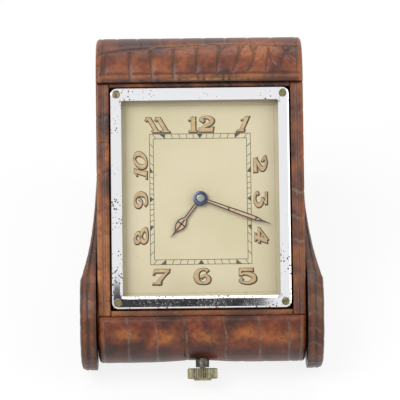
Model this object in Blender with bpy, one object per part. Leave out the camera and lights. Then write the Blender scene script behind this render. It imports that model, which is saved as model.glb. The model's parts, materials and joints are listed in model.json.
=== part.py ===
"""Folding travel clock: an eight-day clock in a leather-covered case that leans back in its stand.

Lengths are in metres. Case pieces are written in the case's frame: x to the right, y into the
case, z up along the dial, with the origin on the hinge line at the middle of the bottom roll.
Depths are measured back from the plane that touches the fronts of both rolls.
"""

import math

import bmesh
import bpy
from mathutils import Matrix, Vector

MM = 0.001

# Clearances
FIT = 0.3 * MM  # between pieces that are glued, screwed or pressed together
RUN = 0.1 * MM  # round a shaft that turns
OVERRUN = 2.0 * MM  # how far a cutter goes past what it cuts

# Sides of small round pieces
PIVOT_SIDES = 8
ARBOR_SIDES = 12
PLAIN_SIDES = 16
DRUM_SIDES = 24
QUARTER = 90.0

# Case
ROLL_RADIUS = 16.0 * MM
TOP_MARGIN = 2.4 * MM  # from the gap over the bezel up to the middle of the top roll
BOTTOM_MARGIN = 1.2 * MM  # from the hinge line up to the gap under the bezel
LEATHER = 1.0 * MM
FACE_DEPTH = 2.2 * MM  # the front face lies this far behind the rolls
TOP_LIP_DROP = 1.0 * MM  # the top roll's leather hangs this far below its middle
BOTTOM_LIP_DROP = 1.0 * MM  # the bottom roll's leather stops this far below its middle
LIP_REACH = 2.4 * MM  # how far the lip turns in under the roll
RAIL_WIDTH = 4.3 * MM
BAND_RECESS = 0.4 * MM  # the leather over and under the bezel lies this far behind the rails
BACK_BOARD = 1.6 * MM
EDGE_ROUND = 0.6 * MM
ROLL_END_ROUND = 1.6 * MM
THUMB_CUT_WIDTH = 30.0 * MM  # shallow relief in the bottom roll over the winding knob
THUMB_CUT_DEPTH = 0.6 * MM
THUMB_REACH_SHARE = 1.2  # how much wider the cutter is than the relief

# Clock unit, which drops into the case from the front
BEZEL_WIDTH = 60.4 * MM
BEZEL_HEIGHT = 74.6 * MM
BEZEL_CORNER = 2.2 * MM
BEZEL_SIDE = 3.7 * MM  # from the bezel's outer edge to the window, left and right
BEZEL_END = 4.2 * MM  # and at the top and bottom
BEZEL_FRONT_DEPTH = 1.0 * MM
BEZEL_THICKNESS = 2.4 * MM
BEZEL_BEVEL = 0.9 * MM
UNIT_GAP = 0.5 * MM  # dark gap round the bezel
GLASS_THICKNESS = 1.1 * MM
GLASS_REBATE = 0.9 * MM  # how far the glass runs under the bezel's edge
SCREW_INSET = 2.1 * MM
SCREW_HEAD_RADIUS = 1.3 * MM
SCREW_HEAD_HEIGHT = 1.1 * MM
SCREW_SHANK_RADIUS = 0.6 * MM
SCREW_LENGTH = 4.4 * MM
SCREW_SLOT_WIDTH = 0.35 * MM
SCREW_SLOT_DEPTH = 0.35 * MM
SCREW_TURNS = (20.0, 75.0, -35.0, 50.0)  # how each slot stands, in degrees
BAND_WALL = 0.9 * MM
BAND_LENGTH = 18.6 * MM
LUG_HALF = 1.6 * MM
LUG_DEPTH = 2.5 * MM
COVER_THICKNESS = 0.8 * MM
DIAL_FRONT_DEPTH = 6.5 * MM
DIAL_THICKNESS = 0.5 * MM
DIAL_FOOT_RADIUS = 0.7 * MM
DIAL_FOOT_REACH = 2.9 * MM
FOOT_HEIGHT_SHARE = 0.1  # of the plates' height, over or under the dial's centre

# Hands
HAND_THICKNESS = 0.3 * MM
MINUTE_HAND_LENGTH = 25.2 * MM
HOUR_HAND_LENGTH = 16.4 * MM
HAND_HUB_RADIUS = 2.5 * MM
MINUTE_HAND_HALF_WIDTH = 0.8 * MM
HOUR_HAND_HALF_WIDTH = 1.3 * MM
# Share of the hand's length from the centre, and share of its half width there
MINUTE_HAND_SHARES = ((0.02, 0.7), (0.30, 0.8), (0.62, 1.0), (0.80, 0.9), (0.88, 0.3), (1.0, 0.12))
HOUR_HAND_SHARES = ((0.02, 0.45), (0.36, 0.5), (0.54, 0.95), (0.66, 1.0), (0.78, 0.7), (0.86, 0.25),
                    (1.0, 0.1))
HOUR_HAND_LIFT = 0.7 * MM  # above the dial
MINUTE_HAND_LIFT = 1.5 * MM
HAND_NUT_RADIUS = 1.3 * MM
HAND_NUT_HEIGHT = 0.5 * MM
MINUTE_ANGLE = math.radians(110.6)  # clockwise from twelve
HOUR_ANGLE = math.radians(217.7)

# A movement is made for its band: the band's inside is this many parts wide and high, and what lies
# in the plane of the plates is written in those parts, which are 1 mm in this clock
PARTS_ACROSS = 58.6
PARTS_UP = 72.8
PART = min((BEZEL_WIDTH - BAND_WALL * 2) / PARTS_ACROSS, (BEZEL_HEIGHT - BAND_WALL * 2) / PARTS_UP)

# Movement plates
PLATE_SIDE_MARGIN = 4.2 * MM  # from the bezel's outer edge in to the plates
PLATE_END_MARGIN = 4.3 * MM
PLATE_CORNER = 6.0 * MM
PLATE_THICKNESS = 1.0 * MM
MOTION_WORK_SPACE = 2.3 * MM  # between dial and main plate
TRAIN_SPACE = 5.0 * MM  # between the plates
PILLAR_RADIUS = 1.6 * MM
PILLAR_INSET = 4.5 * MM
PIVOT_RADIUS = 0.5 * MM
ARBOR_RADIUS = 0.8 * MM
CENTRE_ARBOR_RADIUS = 0.9 * MM
HOUR_PIPE_RADIUS = 1.6 * MM
HOUR_PIPE_BORE = 1.0 * MM
WHEEL_THICKNESS = 0.5 * MM
PLANE_GAP = 0.4 * MM  # between wheels in neighbouring planes
TOOTH_TIP_SHARE = 0.22  # of the pitch
TOOTH_ROOT_SHARE = 0.53
ADDENDUM_SHARE = 0.55  # of the module
DEDENDUM_SHARE = 0.9

# Gear train: tooth counts and modules
BARREL_MODULE = 0.6 * PART
CENTRE_MODULE = 0.64 * PART
THIRD_MODULE = 0.68 * PART
FOURTH_MODULE = 0.66 * PART
MOTION_MODULE = 0.45 * PART
WINDING_MODULE = 0.625 * PART
BARREL_TEETH = 48
CENTRE_PINION_TEETH = 8
CENTRE_TEETH = 36
THIRD_PINION_TEETH = 6
THIRD_TEETH = 24
FOURTH_PINION_TEETH = 6
FOURTH_TEETH = 22
ESCAPE_PINION_TEETH = 6
ESCAPE_TEETH = 15
CANNON_TEETH = 8
MINUTE_WHEEL_TEETH = 24
MINUTE_PINION_TEETH = 8
HOUR_TEETH = 32
RATCHET_TEETH = 32
CROWN_TEETH = 16
STEM_PINION_TEETH = 12
STEM_PINION_MODULE = 0.5 * PART
BARREL_HEIGHT = 3.4 * MM
BARREL_FLOOR = 0.7 * MM
DRUM_STEP = 1.2 * MM  # from the barrel's pitch circle in to its drum
DRUM_WALL = 0.8 * MM
SPRING_INNER_RADIUS = 3.4 * PART
SPRING_CORE_RADIUS = 2.6 * PART
SPRING_CLEARANCE = 0.5 * MM  # between the outer turn and the drum
SPRING_TURNS = 5
SPRING_STRIP = 0.5 * MM
RATCHET_THICKNESS = 0.8 * MM
HOUR_WHEEL_THICKNESS = 0.5 * MM
BARREL_DIRECTION = math.radians(225.0)
THIRD_DIRECTION = math.radians(60.0)
FOURTH_DIRECTION = math.radians(150.0)
ESCAPE_DIRECTION = math.radians(200.0)
PALLET_DIRECTION = math.radians(130.0)
MINUTE_WHEEL_DIRECTION = math.radians(300.0)
ESCAPE_RADIUS = 4.0 * PART
PALLET_DISTANCE = 6.4 * PART
ESCAPE_TOOTH = 1.1 * PART
ESCAPE_VALLEY_SHARE = 0.25  # of the pitch
# The lever's outline along the line to the balance, and across it, in shares of the fork's length
LEVER_SHARES = ((0.7, 0.12), (0.15, 0.15), (0.15, 0.85), (-0.4, 0.85), (-0.4, 0.6), (-0.15, 0.6),
                (-0.15, -0.6), (-0.4, -0.6), (-0.4, -0.85), (0.15, -0.85), (0.15, -0.15), (0.7, -0.12))
FORK_LENGTH = 4.0 * PART
BALANCE_RADIUS = 7.0 * PART
BALANCE_RIM = 0.9 * PART
BALANCE_SPOKE_HALF = 0.5 * MM
BALANCE_THICKNESS = 0.7 * MM
BALANCE_LIFT = 0.6 * MM  # over the back plate
HAIRSPRING_WIRE = 0.22 * MM
HAIRSPRING_PITCH = 0.75 * PART
HAIRSPRING_TURNS = 3
HAIRSPRING_INNER_RADIUS = 1.5 * PART
HAIRSPRING_HEIGHT = 0.4 * MM
COCK_THICKNESS = 1.0 * MM
COCK_DIRECTION = math.radians(20.0)
COCK_REACH = 10.5 * PART
COCK_FOOT_RADIUS = 2.0 * PART
# The cock's outline along the line from the balance to its foot, and across it, in shares of its reach
COCK_SHARES = ((-0.17, -0.1), (-0.17, 0.1), (-0.08, 0.19), (0.15, 0.21), (0.86, 0.28), (1.2, 0.21),
               (1.28, 0.0), (1.2, -0.21), (0.86, -0.28), (0.15, -0.21), (-0.08, -0.19))

# Winding knob and its stem
STEM_DEPTH = 13.0 * MM
STEM_RADIUS = 0.9 * MM
FERRULE_RADIUS = 2.3 * MM
FERRULE_BORE = 1.6 * MM
FERRULE_REACH = 1.7 * MM  # how far it stands out of the bottom roll
FERRULE_LENGTH = 14.0 * MM
SLEEVE_LENGTH = 8.0 * MM
KNOB_RADIUS = 5.1 * MM
KNOB_HEIGHT = 3.5 * MM
KNOB_GAP = 0.4 * MM
KNOB_BOSS_RADIUS = 3.0 * MM
KNOB_BOSS_HEIGHT = 0.6 * MM
KNURL_COUNT = 26
KNURL_DEPTH = 0.45 * MM
STEM_PINION_LENGTH = 2.0 * MM
STEM_PINION_TOP = 24.4 * PART  # from the dial's centre down to the winding pinion
PULL_TRAVEL = 1.2 * MM  # how far the knob pulls out
STEM_END_GAP = 23.0 * PART  # from the dial's centre down to the stem's inner end

# Folding stand
LEAN = math.radians(45.0)  # of the case, back from upright
CHEEK_RADIUS = 18.3 * MM
SIDE_GAP = 0.5 * MM
CHEEK_THICKNESS = 5.4 * MM  # where the cheek swells round the hinge
CHEEK_FAR_SHARE = 0.2  # of that thickness, at the far end
CHEEK_THINNING = 4  # the power of the curve along which it thins
CHEEK_STATION_SHARES = (0.04, 0.09, 0.15, 0.22, 0.32, 0.46, 0.66)  # of the length, where the curve is cut
CHEEK_LENGTH = 94.0 * MM
CHEEK_FAR_EDGE = 8.0 * MM  # height of the far end over the hinge line
CHEEK_FAR_ROUND = 9.0 * MM
CHEEK_ROUND = 1.8 * MM
FLOOR_THICKNESS = 1.9 * MM
FLOOR_START = 2.0 * MM  # behind the hinge line
FLOOR_END_ROUND = 3.0 * MM
PIN_RADIUS = 2.0 * MM
PIN_IN_CHEEK = 3.6 * MM
BUSH_RADIUS = 3.2 * MM
BUSH_LENGTH = 2.4 * MM
BUSH_INSET = 0.3 * MM


def pitch_radius(teeth, module):
    return teeth * module / 2


# Worked out from the above
CASE_WIDTH = BEZEL_WIDTH + (UNIT_GAP + RAIL_WIDTH) * 2
CLOCK_HEIGHT_ABOVE_HINGE = BOTTOM_MARGIN + UNIT_GAP + BEZEL_HEIGHT / 2
ROLL_SPACING = CLOCK_HEIGHT_ABOVE_HINGE + BEZEL_HEIGHT / 2 + UNIT_GAP + TOP_MARGIN
WINDOW_WIDTH = BEZEL_WIDTH - BEZEL_SIDE * 2
WINDOW_HEIGHT = BEZEL_HEIGHT - BEZEL_END * 2
PLATE_WIDTH = BEZEL_WIDTH - PLATE_SIDE_MARGIN * 2
PLATE_HEIGHT = BEZEL_HEIGHT - PLATE_END_MARGIN * 2
DRUM_RADIUS = pitch_radius(BARREL_TEETH, BARREL_MODULE) - DRUM_STEP
SPRING_ROOM = DRUM_RADIUS - DRUM_WALL - SPRING_INNER_RADIUS - SPRING_STRIP - SPRING_CLEARANCE
SPRING_PITCH = SPRING_ROOM / SPRING_TURNS
CORE_RADIUS = ROLL_RADIUS - LEATHER - FIT
CORE_HALF_WIDTH = CASE_WIDTH / 2 - LEATHER - FIT
OPENING_HALF_WIDTH = CASE_WIDTH / 2 - RAIL_WIDTH
OPENING_BOTTOM = CLOCK_HEIGHT_ABOVE_HINGE - BEZEL_HEIGHT / 2 - UNIT_GAP
OPENING_TOP = CLOCK_HEIGHT_ABOVE_HINGE + BEZEL_HEIGHT / 2 + UNIT_GAP
GLASS_FRONT_DEPTH = BEZEL_FRONT_DEPTH + BEZEL_THICKNESS - GLASS_THICKNESS
BAND_FRONT_DEPTH = BEZEL_FRONT_DEPTH + BEZEL_THICKNESS + FIT
BAND_BACK_DEPTH = BAND_FRONT_DEPTH + BAND_LENGTH
COVER_BACK_DEPTH = BAND_BACK_DEPTH + FIT + COVER_THICKNESS
POCKET_DEPTH = COVER_BACK_DEPTH + FIT
MAIN_PLATE_DEPTH = DIAL_FRONT_DEPTH + DIAL_THICKNESS + MOTION_WORK_SPACE
TRAIN_FRONT = MAIN_PLATE_DEPTH + PLATE_THICKNESS
BACK_PLATE_DEPTH = TRAIN_FRONT + TRAIN_SPACE
BACK_PLATE_REAR = BACK_PLATE_DEPTH + PLATE_THICKNESS
CENTRE_WHEEL_DEPTH = TRAIN_FRONT + FIT
BARREL_DEPTH = CENTRE_WHEEL_DEPTH + WHEEL_THICKNESS + PLANE_GAP
FOURTH_WHEEL_DEPTH = BARREL_DEPTH + PLANE_GAP
THIRD_WHEEL_DEPTH = FOURTH_WHEEL_DEPTH + WHEEL_THICKNESS + PLANE_GAP * 2
RATCHET_DEPTH = BACK_PLATE_REAR + FIT
MOTION_DEPTH = DIAL_FRONT_DEPTH + DIAL_THICKNESS + FIT
HOUR_PIPE_FRONT = DIAL_FRONT_DEPTH - HOUR_HAND_LIFT + RUN * 2
CENTRE_ARBOR_FRONT = DIAL_FRONT_DEPTH - MINUTE_HAND_LIFT - HAND_THICKNESS + RUN
HOUR_MODULE = MOTION_MODULE * (CANNON_TEETH + MINUTE_WHEEL_TEETH) / (MINUTE_PINION_TEETH + HOUR_TEETH)


def towards(start, direction, distance):
    """The point of the dial's plane that lies this far from start."""
    return start[0] + math.cos(direction) * distance, start[1] + math.sin(direction) * distance


CENTRE = (0.0, 0.0)
CORNER_WORDS = ("lower_left", "upper_left", "lower_right", "upper_right")
BARREL_DISTANCE = pitch_radius(BARREL_TEETH + CENTRE_PINION_TEETH, BARREL_MODULE)
THIRD_DISTANCE = pitch_radius(CENTRE_TEETH + THIRD_PINION_TEETH, CENTRE_MODULE)
MINUTE_WHEEL_DISTANCE = pitch_radius(CANNON_TEETH + MINUTE_WHEEL_TEETH, MOTION_MODULE)


def free_distance(teeth, module):
    """Between two wheels whose teeth just stay clear of each other."""
    return pitch_radius(teeth, module) + ADDENDUM_SHARE * module * 2 + FIT


FOURTH_DISTANCE = free_distance(THIRD_TEETH + FOURTH_PINION_TEETH, THIRD_MODULE)
ESCAPE_DISTANCE = free_distance(FOURTH_TEETH + ESCAPE_PINION_TEETH, FOURTH_MODULE)
BARREL_PLACE = towards(CENTRE, BARREL_DIRECTION, BARREL_DISTANCE)
THIRD_PLACE = towards(CENTRE, THIRD_DIRECTION, THIRD_DISTANCE)
FOURTH_PLACE = towards(THIRD_PLACE, FOURTH_DIRECTION, FOURTH_DISTANCE)
ESCAPE_PLACE = towards(FOURTH_PLACE, ESCAPE_DIRECTION, ESCAPE_DISTANCE)
PALLET_PLACE = towards(ESCAPE_PLACE, PALLET_DIRECTION, PALLET_DISTANCE)
BALANCE_PLACE = towards(PALLET_PLACE, PALLET_DIRECTION, FORK_LENGTH)
MINUTE_WHEEL_PLACE = towards(CENTRE, MINUTE_WHEEL_DIRECTION, MINUTE_WHEEL_DISTANCE)
CROWN_RADIUS = pitch_radius(CROWN_TEETH, WINDING_MODULE)
CROWN_DISTANCE = pitch_radius(CROWN_TEETH + RATCHET_TEETH, WINDING_MODULE)
CROWN_X = -CROWN_RADIUS
CROWN_DROP = math.sqrt(CROWN_DISTANCE ** 2 - (CROWN_X - BARREL_PLACE[0]) ** 2)
CROWN_PLACE = (CROWN_X, BARREL_PLACE[1] - CROWN_DROP)
CROWN_ANGLE = math.atan2(CROWN_DROP, BARREL_PLACE[0] - CROWN_X)


def material(name, red, green, blue, roughness, metallic=0.0):
    made = bpy.data.materials.new(name)
    made.use_nodes = True
    shader = made.node_tree.nodes["Principled BSDF"]
    shader.inputs["Base Color"].default_value = (red, green, blue, 1.0)
    shader.inputs["Roughness"].default_value = roughness
    shader.inputs["Metallic"].default_value = metallic
    made.diffuse_color = (red, green, blue, 1.0)
    return made


def clear_scene():
    for old in list(bpy.data.objects):
        bpy.data.objects.remove(old, do_unlink=True)


def finished(name, form, finish, parent, place=(0.0, 0.0, 0.0)):
    """Turns a bmesh into a named object with its material, standing under its parent."""
    bmesh.ops.recalc_face_normals(form, faces=form.faces)
    mesh = bpy.data.meshes.new(name)
    form.to_mesh(mesh)
    form.free()
    piece = bpy.data.objects.new(name, mesh)
    bpy.context.scene.collection.objects.link(piece)
    if finish:
        mesh.materials.append(finish)
    piece.parent = parent
    piece.location = place
    return piece


def shade(piece, angle=math.radians(35.0)):
    piece.data.shade_smooth()
    piece.data.set_sharp_from_angle(angle=angle)
    return piece


def prism(outline, low, high, axis):
    """A solid with this outline, drawn out along an axis. The outline is written in the other two axes."""
    form = bmesh.new()
    places = {
        "X": [(low, a, b) for a, b in outline],
        "Y": [(a, low, b) for a, b in outline],
        "Z": [(a, b, low) for a, b in outline],
    }
    face = form.faces.new([form.verts.new(place) for place in places[axis]])
    grown = bmesh.ops.extrude_face_region(form, geom=[face])
    far = [v for v in grown["geom"] if isinstance(v, bmesh.types.BMVert)]
    along = {"X": (1, 0, 0), "Y": (0, 1, 0), "Z": (0, 0, 1)}[axis]
    bmesh.ops.translate(form, verts=far, vec=Vector(along) * (high - low))
    return form


def block(x_span, y_span, z_span):
    outline = [(x_span[0], z_span[0]), (x_span[1], z_span[0]), (x_span[1], z_span[1]), (x_span[0], z_span[1])]
    return prism(outline, y_span[0], y_span[1], "Y")


def arc(centre, radius, start, end, steps):
    """Points on an arc, both ends included, with angles in degrees."""
    points = []
    for step in range(steps + 1):
        angle = math.radians(start + (end - start) * step / steps)
        points.append((centre[0] + radius * math.cos(angle), centre[1] + radius * math.sin(angle)))
    return points


def circle(centre, radius, steps=PLAIN_SIDES):
    return arc(centre, radius, 0.0, 360.0 - 360.0 / steps, steps - 1)


def round_box(half_width, half_height, corner, steps=4):
    points = []
    corners = ((1, 1, 0.0), (-1, 1, 90.0), (-1, -1, 180.0), (1, -1, 270.0))
    for side, level, start in corners:
        middle = (side * (half_width - corner), level * (half_height - corner))
        points += arc(middle, corner, start, start + QUARTER, steps)
    return points


def turned(profile, axis, steps=24):
    """A solid of revolution. The profile runs from the axis out and back to it, as (radius, height) pairs."""
    form = bmesh.new()
    verts = [form.verts.new((radius, 0.0, height)) for radius, height in profile]
    edges = [form.edges.new(pair) for pair in zip(verts, verts[1:])]
    bmesh.ops.spin(form, geom=verts + edges, cent=(0, 0, 0), axis=(0, 0, 1), angle=math.tau, steps=steps,
                   use_merge=True)
    bmesh.ops.remove_doubles(form, verts=form.verts, dist=MM / 1000)
    if axis == "Y":
        turn = Matrix.Rotation(math.radians(-90.0), 3, "X")
        bmesh.ops.rotate(form, verts=form.verts, cent=(0, 0, 0), matrix=turn)
    if axis == "X":
        turn = Matrix.Rotation(math.radians(90.0), 3, "Y")
        bmesh.ops.rotate(form, verts=form.verts, cent=(0, 0, 0), matrix=turn)
    return form


def moved(form, x=0.0, y=0.0, z=0.0):
    bmesh.ops.translate(form, verts=form.verts, vec=(x, y, z))
    return form


def combined(piece, operation, tools):
    """Adds or cuts solids, given as bmeshes in the piece's own frame, with an exact Boolean."""
    for form in tools:
        bmesh.ops.recalc_face_normals(form, faces=form.faces)
        mesh = bpy.data.meshes.new("tool")
        form.to_mesh(mesh)
        form.free()
        tool = bpy.data.objects.new("tool", mesh)
        bpy.context.scene.collection.objects.link(tool)
        tool.parent = piece.parent
        tool.location = piece.location
        modifier = piece.modifiers.new(operation, "BOOLEAN")
        modifier.operation = operation
        modifier.object = tool
        modifier.solver = "EXACT"
        bpy.context.view_layer.update()
        graph = bpy.context.evaluated_depsgraph_get()
        result = bpy.data.meshes.new_from_object(piece.evaluated_get(graph))
        piece.modifiers.remove(modifier)
        piece.data = result
        bpy.data.objects.remove(tool, do_unlink=True)
    return piece


def cut(piece, *tools):
    return combined(piece, "DIFFERENCE", tools)


def joined(piece, *tools):
    return combined(piece, "UNION", tools)


def rounded(form, width, segments=2, angle=math.radians(30.0), keep=lambda edge: True):
    """Bevels the form's sharp edges."""
    bmesh.ops.recalc_face_normals(form, faces=form.faces)
    sharp = [e for e in form.edges if len(e.link_faces) == 2 and e.calc_face_angle(0.0) > angle and keep(e)]
    bmesh.ops.bevel(form, geom=sharp, offset=width, segments=segments, profile=0.5, affect="EDGES",
                    clamp_overlap=True, material=-1)
    return form


def depth(value):
    """The y of a depth measured back from the rolls' fronts."""
    return value - ROLL_RADIUS


def gear_outline(teeth, module, phase=0.0, centre=CENTRE):
    """Straight-flanked teeth round a wheel or pinion. A tooth is centred on the phase angle."""
    pitch = math.tau / teeth
    root = pitch_radius(teeth, module) - DEDENDUM_SHARE * module
    tip = pitch_radius(teeth, module) + ADDENDUM_SHARE * module
    root_wide = pitch * TOOTH_ROOT_SHARE / 2
    tip_wide = pitch * TOOTH_TIP_SHARE / 2
    points = []
    for index in range(teeth):
        middle = phase + index * pitch
        for radius, wide in ((root, -root_wide), (tip, -tip_wide), (tip, tip_wide), (root, root_wide)):
            angle = middle + wide
            points.append((centre[0] + radius * math.cos(angle), centre[1] + radius * math.sin(angle)))
    return points


def gap_phase(teeth, direction):
    """The phase that puts a gap between teeth in this direction."""
    return direction + math.pi / teeth


def roll_outline(radius, edge):
    """The upper half of a roll, from a straight edge at this height round over the top, in (y, height)."""
    start = math.degrees(math.asin(max(edge, 0.0) / radius))
    points = arc(CENTRE, radius, start, 180.0 - start, 18)
    if edge < 0.0:
        points = [(radius, edge)] + points + [(-radius, edge)]
    return points


def roll_leather(name, middle, up, edge, finish, parent):
    """The moulded leather round one rolled end of the case, with closed ends and a lip at the front."""
    half = CASE_WIDTH / 2
    inner = ROLL_RADIUS - LEATHER

    def placed(outline):
        return [(y, middle + up * height) for y, height in outline]

    def round_end(edge_):
        heights = [up * (v.co.z - middle) for v in edge_.verts]
        return max(heights) > edge + OVERRUN / 10

    outer = prism(placed(roll_outline(ROLL_RADIUS, edge)), -half, half, "X")
    rounded(outer, ROLL_END_ROUND, 2, math.radians(60.0), round_end)
    piece = finished(name, outer, finish, parent)
    hollow = prism(placed(roll_outline(inner, edge + LEATHER)), -half + LEATHER, half - LEATHER, "X")
    mouth = [(-ROLL_RADIUS + LIP_REACH, edge - OVERRUN), (inner, edge - OVERRUN),
             (inner, edge + LEATHER + FIT), (-ROLL_RADIUS + LIP_REACH, edge + LEATHER + FIT)]
    cut(piece, hollow, prism(placed(mouth), -half + LEATHER, half - LEATHER, "X"))
    return piece


def hinge_bore(radius, inner_x, outer_x, side):
    """A cutter on the hinge line."""
    low, high = sorted((side * inner_x, side * outer_x))
    return prism(circle(CENTRE, radius), low, high, "X")


def stem_bore(radius, low, high):
    """A cutter on the winding stem's line, in the case's frame."""
    return prism(circle((0.0, depth(STEM_DEPTH)), radius), low, high, "Z")


def thumb_cutter():
    """A shallow round-bottomed relief across the underside of the bottom roll."""
    half = THUMB_CUT_WIDTH / 2
    radius = (half ** 2 + THUMB_CUT_DEPTH ** 2) / (2 * THUMB_CUT_DEPTH)
    middle = -ROLL_RADIUS + THUMB_CUT_DEPTH - radius
    reach = math.degrees(math.asin(half / radius)) * THUMB_REACH_SHARE
    points = arc((0.0, middle), radius, QUARTER + reach, QUARTER - reach, 12)
    ends = [(points[-1][0], points[-1][1] - OVERRUN), (points[0][0], points[0][1] - OVERRUN)]
    return prism(points + ends, -ROLL_RADIUS, ROLL_RADIUS, "Y")


def case_pieces(case, finishes):
    """The wooden carcass and the leather that covers it."""
    wood, hide = finishes["wood"], finishes["leather"]
    bottom_step = BOTTOM_LIP_DROP + LEATHER + FIT
    top_step = ROLL_SPACING - TOP_LIP_DROP + LEATHER + FIT
    back = ROLL_RADIUS - BACK_BOARD - FIT
    face = depth(FACE_DEPTH + LEATHER + FIT)

    def rise(height):
        return math.degrees(math.asin(height / CORE_RADIUS))

    outline = arc(CENTRE, CORE_RADIUS, 180.0 + rise(bottom_step), 360.0 - rise(BOTTOM_LIP_DROP), 20)
    outline += [(back, -BOTTOM_LIP_DROP), (back, ROLL_SPACING - TOP_LIP_DROP)]
    top_middle = (0.0, ROLL_SPACING)
    outline += arc(top_middle, CORE_RADIUS, -rise(TOP_LIP_DROP), 180.0 - rise(top_step - ROLL_SPACING), 20)
    outline += [(face, top_step), (face, -bottom_step)]
    carcass = finished("case_carcass", prism(outline, -CORE_HALF_WIDTH, CORE_HALF_WIDTH, "X"), wood, case)
    pocket = block((-OPENING_HALF_WIDTH, OPENING_HALF_WIDTH), (depth(-OVERRUN), depth(POCKET_DEPTH)),
                   (OPENING_BOTTOM, OPENING_TOP))
    ferrule_hole = stem_bore(FERRULE_RADIUS + FIT, -ROLL_RADIUS - OVERRUN, OPENING_BOTTOM + OVERRUN)
    cut(carcass, pocket, ferrule_hole)
    for side in (-1, 1):
        bush_end = CORE_HALF_WIDTH - BUSH_LENGTH - FIT
        cut(carcass, hinge_bore(BUSH_RADIUS + FIT, bush_end, CORE_HALF_WIDTH + OVERRUN, side))

    top = roll_leather("top_roll_leather", ROLL_SPACING, 1, -TOP_LIP_DROP, hide, case)
    bottom = roll_leather("bottom_roll_leather", 0.0, -1, BOTTOM_LIP_DROP, hide, case)
    cut(bottom, thumb_cutter(), stem_bore(FERRULE_RADIUS + FIT, -ROLL_RADIUS - OVERRUN, -ROLL_RADIUS / 2))
    pin_hole = PIN_RADIUS + FIT
    low, high = -BOTTOM_LIP_DROP + FIT, ROLL_SPACING - TOP_LIP_DROP - FIT
    front = depth(FACE_DEPTH)
    half = CASE_WIDTH / 2
    for side, word in ((-1, "left"), (1, "right")):
        cut(bottom, hinge_bore(pin_hole, half - LEATHER - OVERRUN, half + OVERRUN, side))
        section = [(side * x, y) for x, y in (
            (OPENING_HALF_WIDTH, front), (half, front), (half, ROLL_RADIUS), (half - LEATHER, ROLL_RADIUS),
            (half - LEATHER, front + LEATHER), (OPENING_HALF_WIDTH, front + LEATHER))]
        form = prism(section, low, high, "Z")

        def outer_corner(edge):
            return all(abs(v.co.x) > half - LEATHER / 2 for v in edge.verts) and abs(
                edge.verts[0].co.z - edge.verts[1].co.z) > ROLL_RADIUS

        rounded(form, EDGE_ROUND, 3, math.radians(60.0), outer_corner)
        rail = finished("rail_leather_" + word, form, hide, case)
        cut(rail, hinge_bore(pin_hole, half - LEATHER - OVERRUN, half + OVERRUN, side))
        shade(rail)
    span = (-OPENING_HALF_WIDTH + FIT, OPENING_HALF_WIDTH - FIT)
    band_front = front + BAND_RECESS
    top_band = block(span, (band_front, front + LEATHER), (OPENING_TOP, high))
    bottom_band = block(span, (band_front, front + LEATHER), (low, OPENING_BOTTOM))
    finished("top_band_leather", top_band, hide, case)
    finished("bottom_band_leather", bottom_band, hide, case)
    board_half = half - LEATHER - FIT
    board = block((-board_half, board_half), (ROLL_RADIUS - BACK_BOARD, ROLL_RADIUS), (low, high))
    shade(finished("case_back", rounded(board, BACK_BOARD / 4), hide, case))
    for piece in (carcass, top, bottom):
        shade(piece)

    for side, word in ((-1, "left"), (1, "right")):
        outer_x = CORE_HALF_WIDTH - FIT
        ring = hinge_bore(BUSH_RADIUS, CORE_HALF_WIDTH - BUSH_LENGTH, outer_x, side)
        bush = finished("hinge_bush_" + word, ring, finishes["brass"], case)
        shade(cut(bush, hinge_bore(PIN_RADIUS + RUN, 0.0, CASE_WIDTH, side)))

    ferrule_low = -ROLL_RADIUS - FERRULE_REACH
    ferrule = finished("stem_ferrule", stem_bore(FERRULE_RADIUS, ferrule_low, ferrule_low + FERRULE_LENGTH),
                       finishes["steel"], case)
    shade(cut(ferrule, stem_bore(FERRULE_BORE, -CASE_WIDTH, CASE_WIDTH)))


def screw_places():
    across = BEZEL_WIDTH / 2 - SCREW_INSET
    up = BEZEL_HEIGHT / 2 - SCREW_INSET
    return [(side * across, level * up) for side in (-1, 1) for level in (-1, 1)]


def disc(place, radius, low, high, steps=PLAIN_SIDES):
    return prism(circle(place, radius, steps), low, high, "Y")


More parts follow.
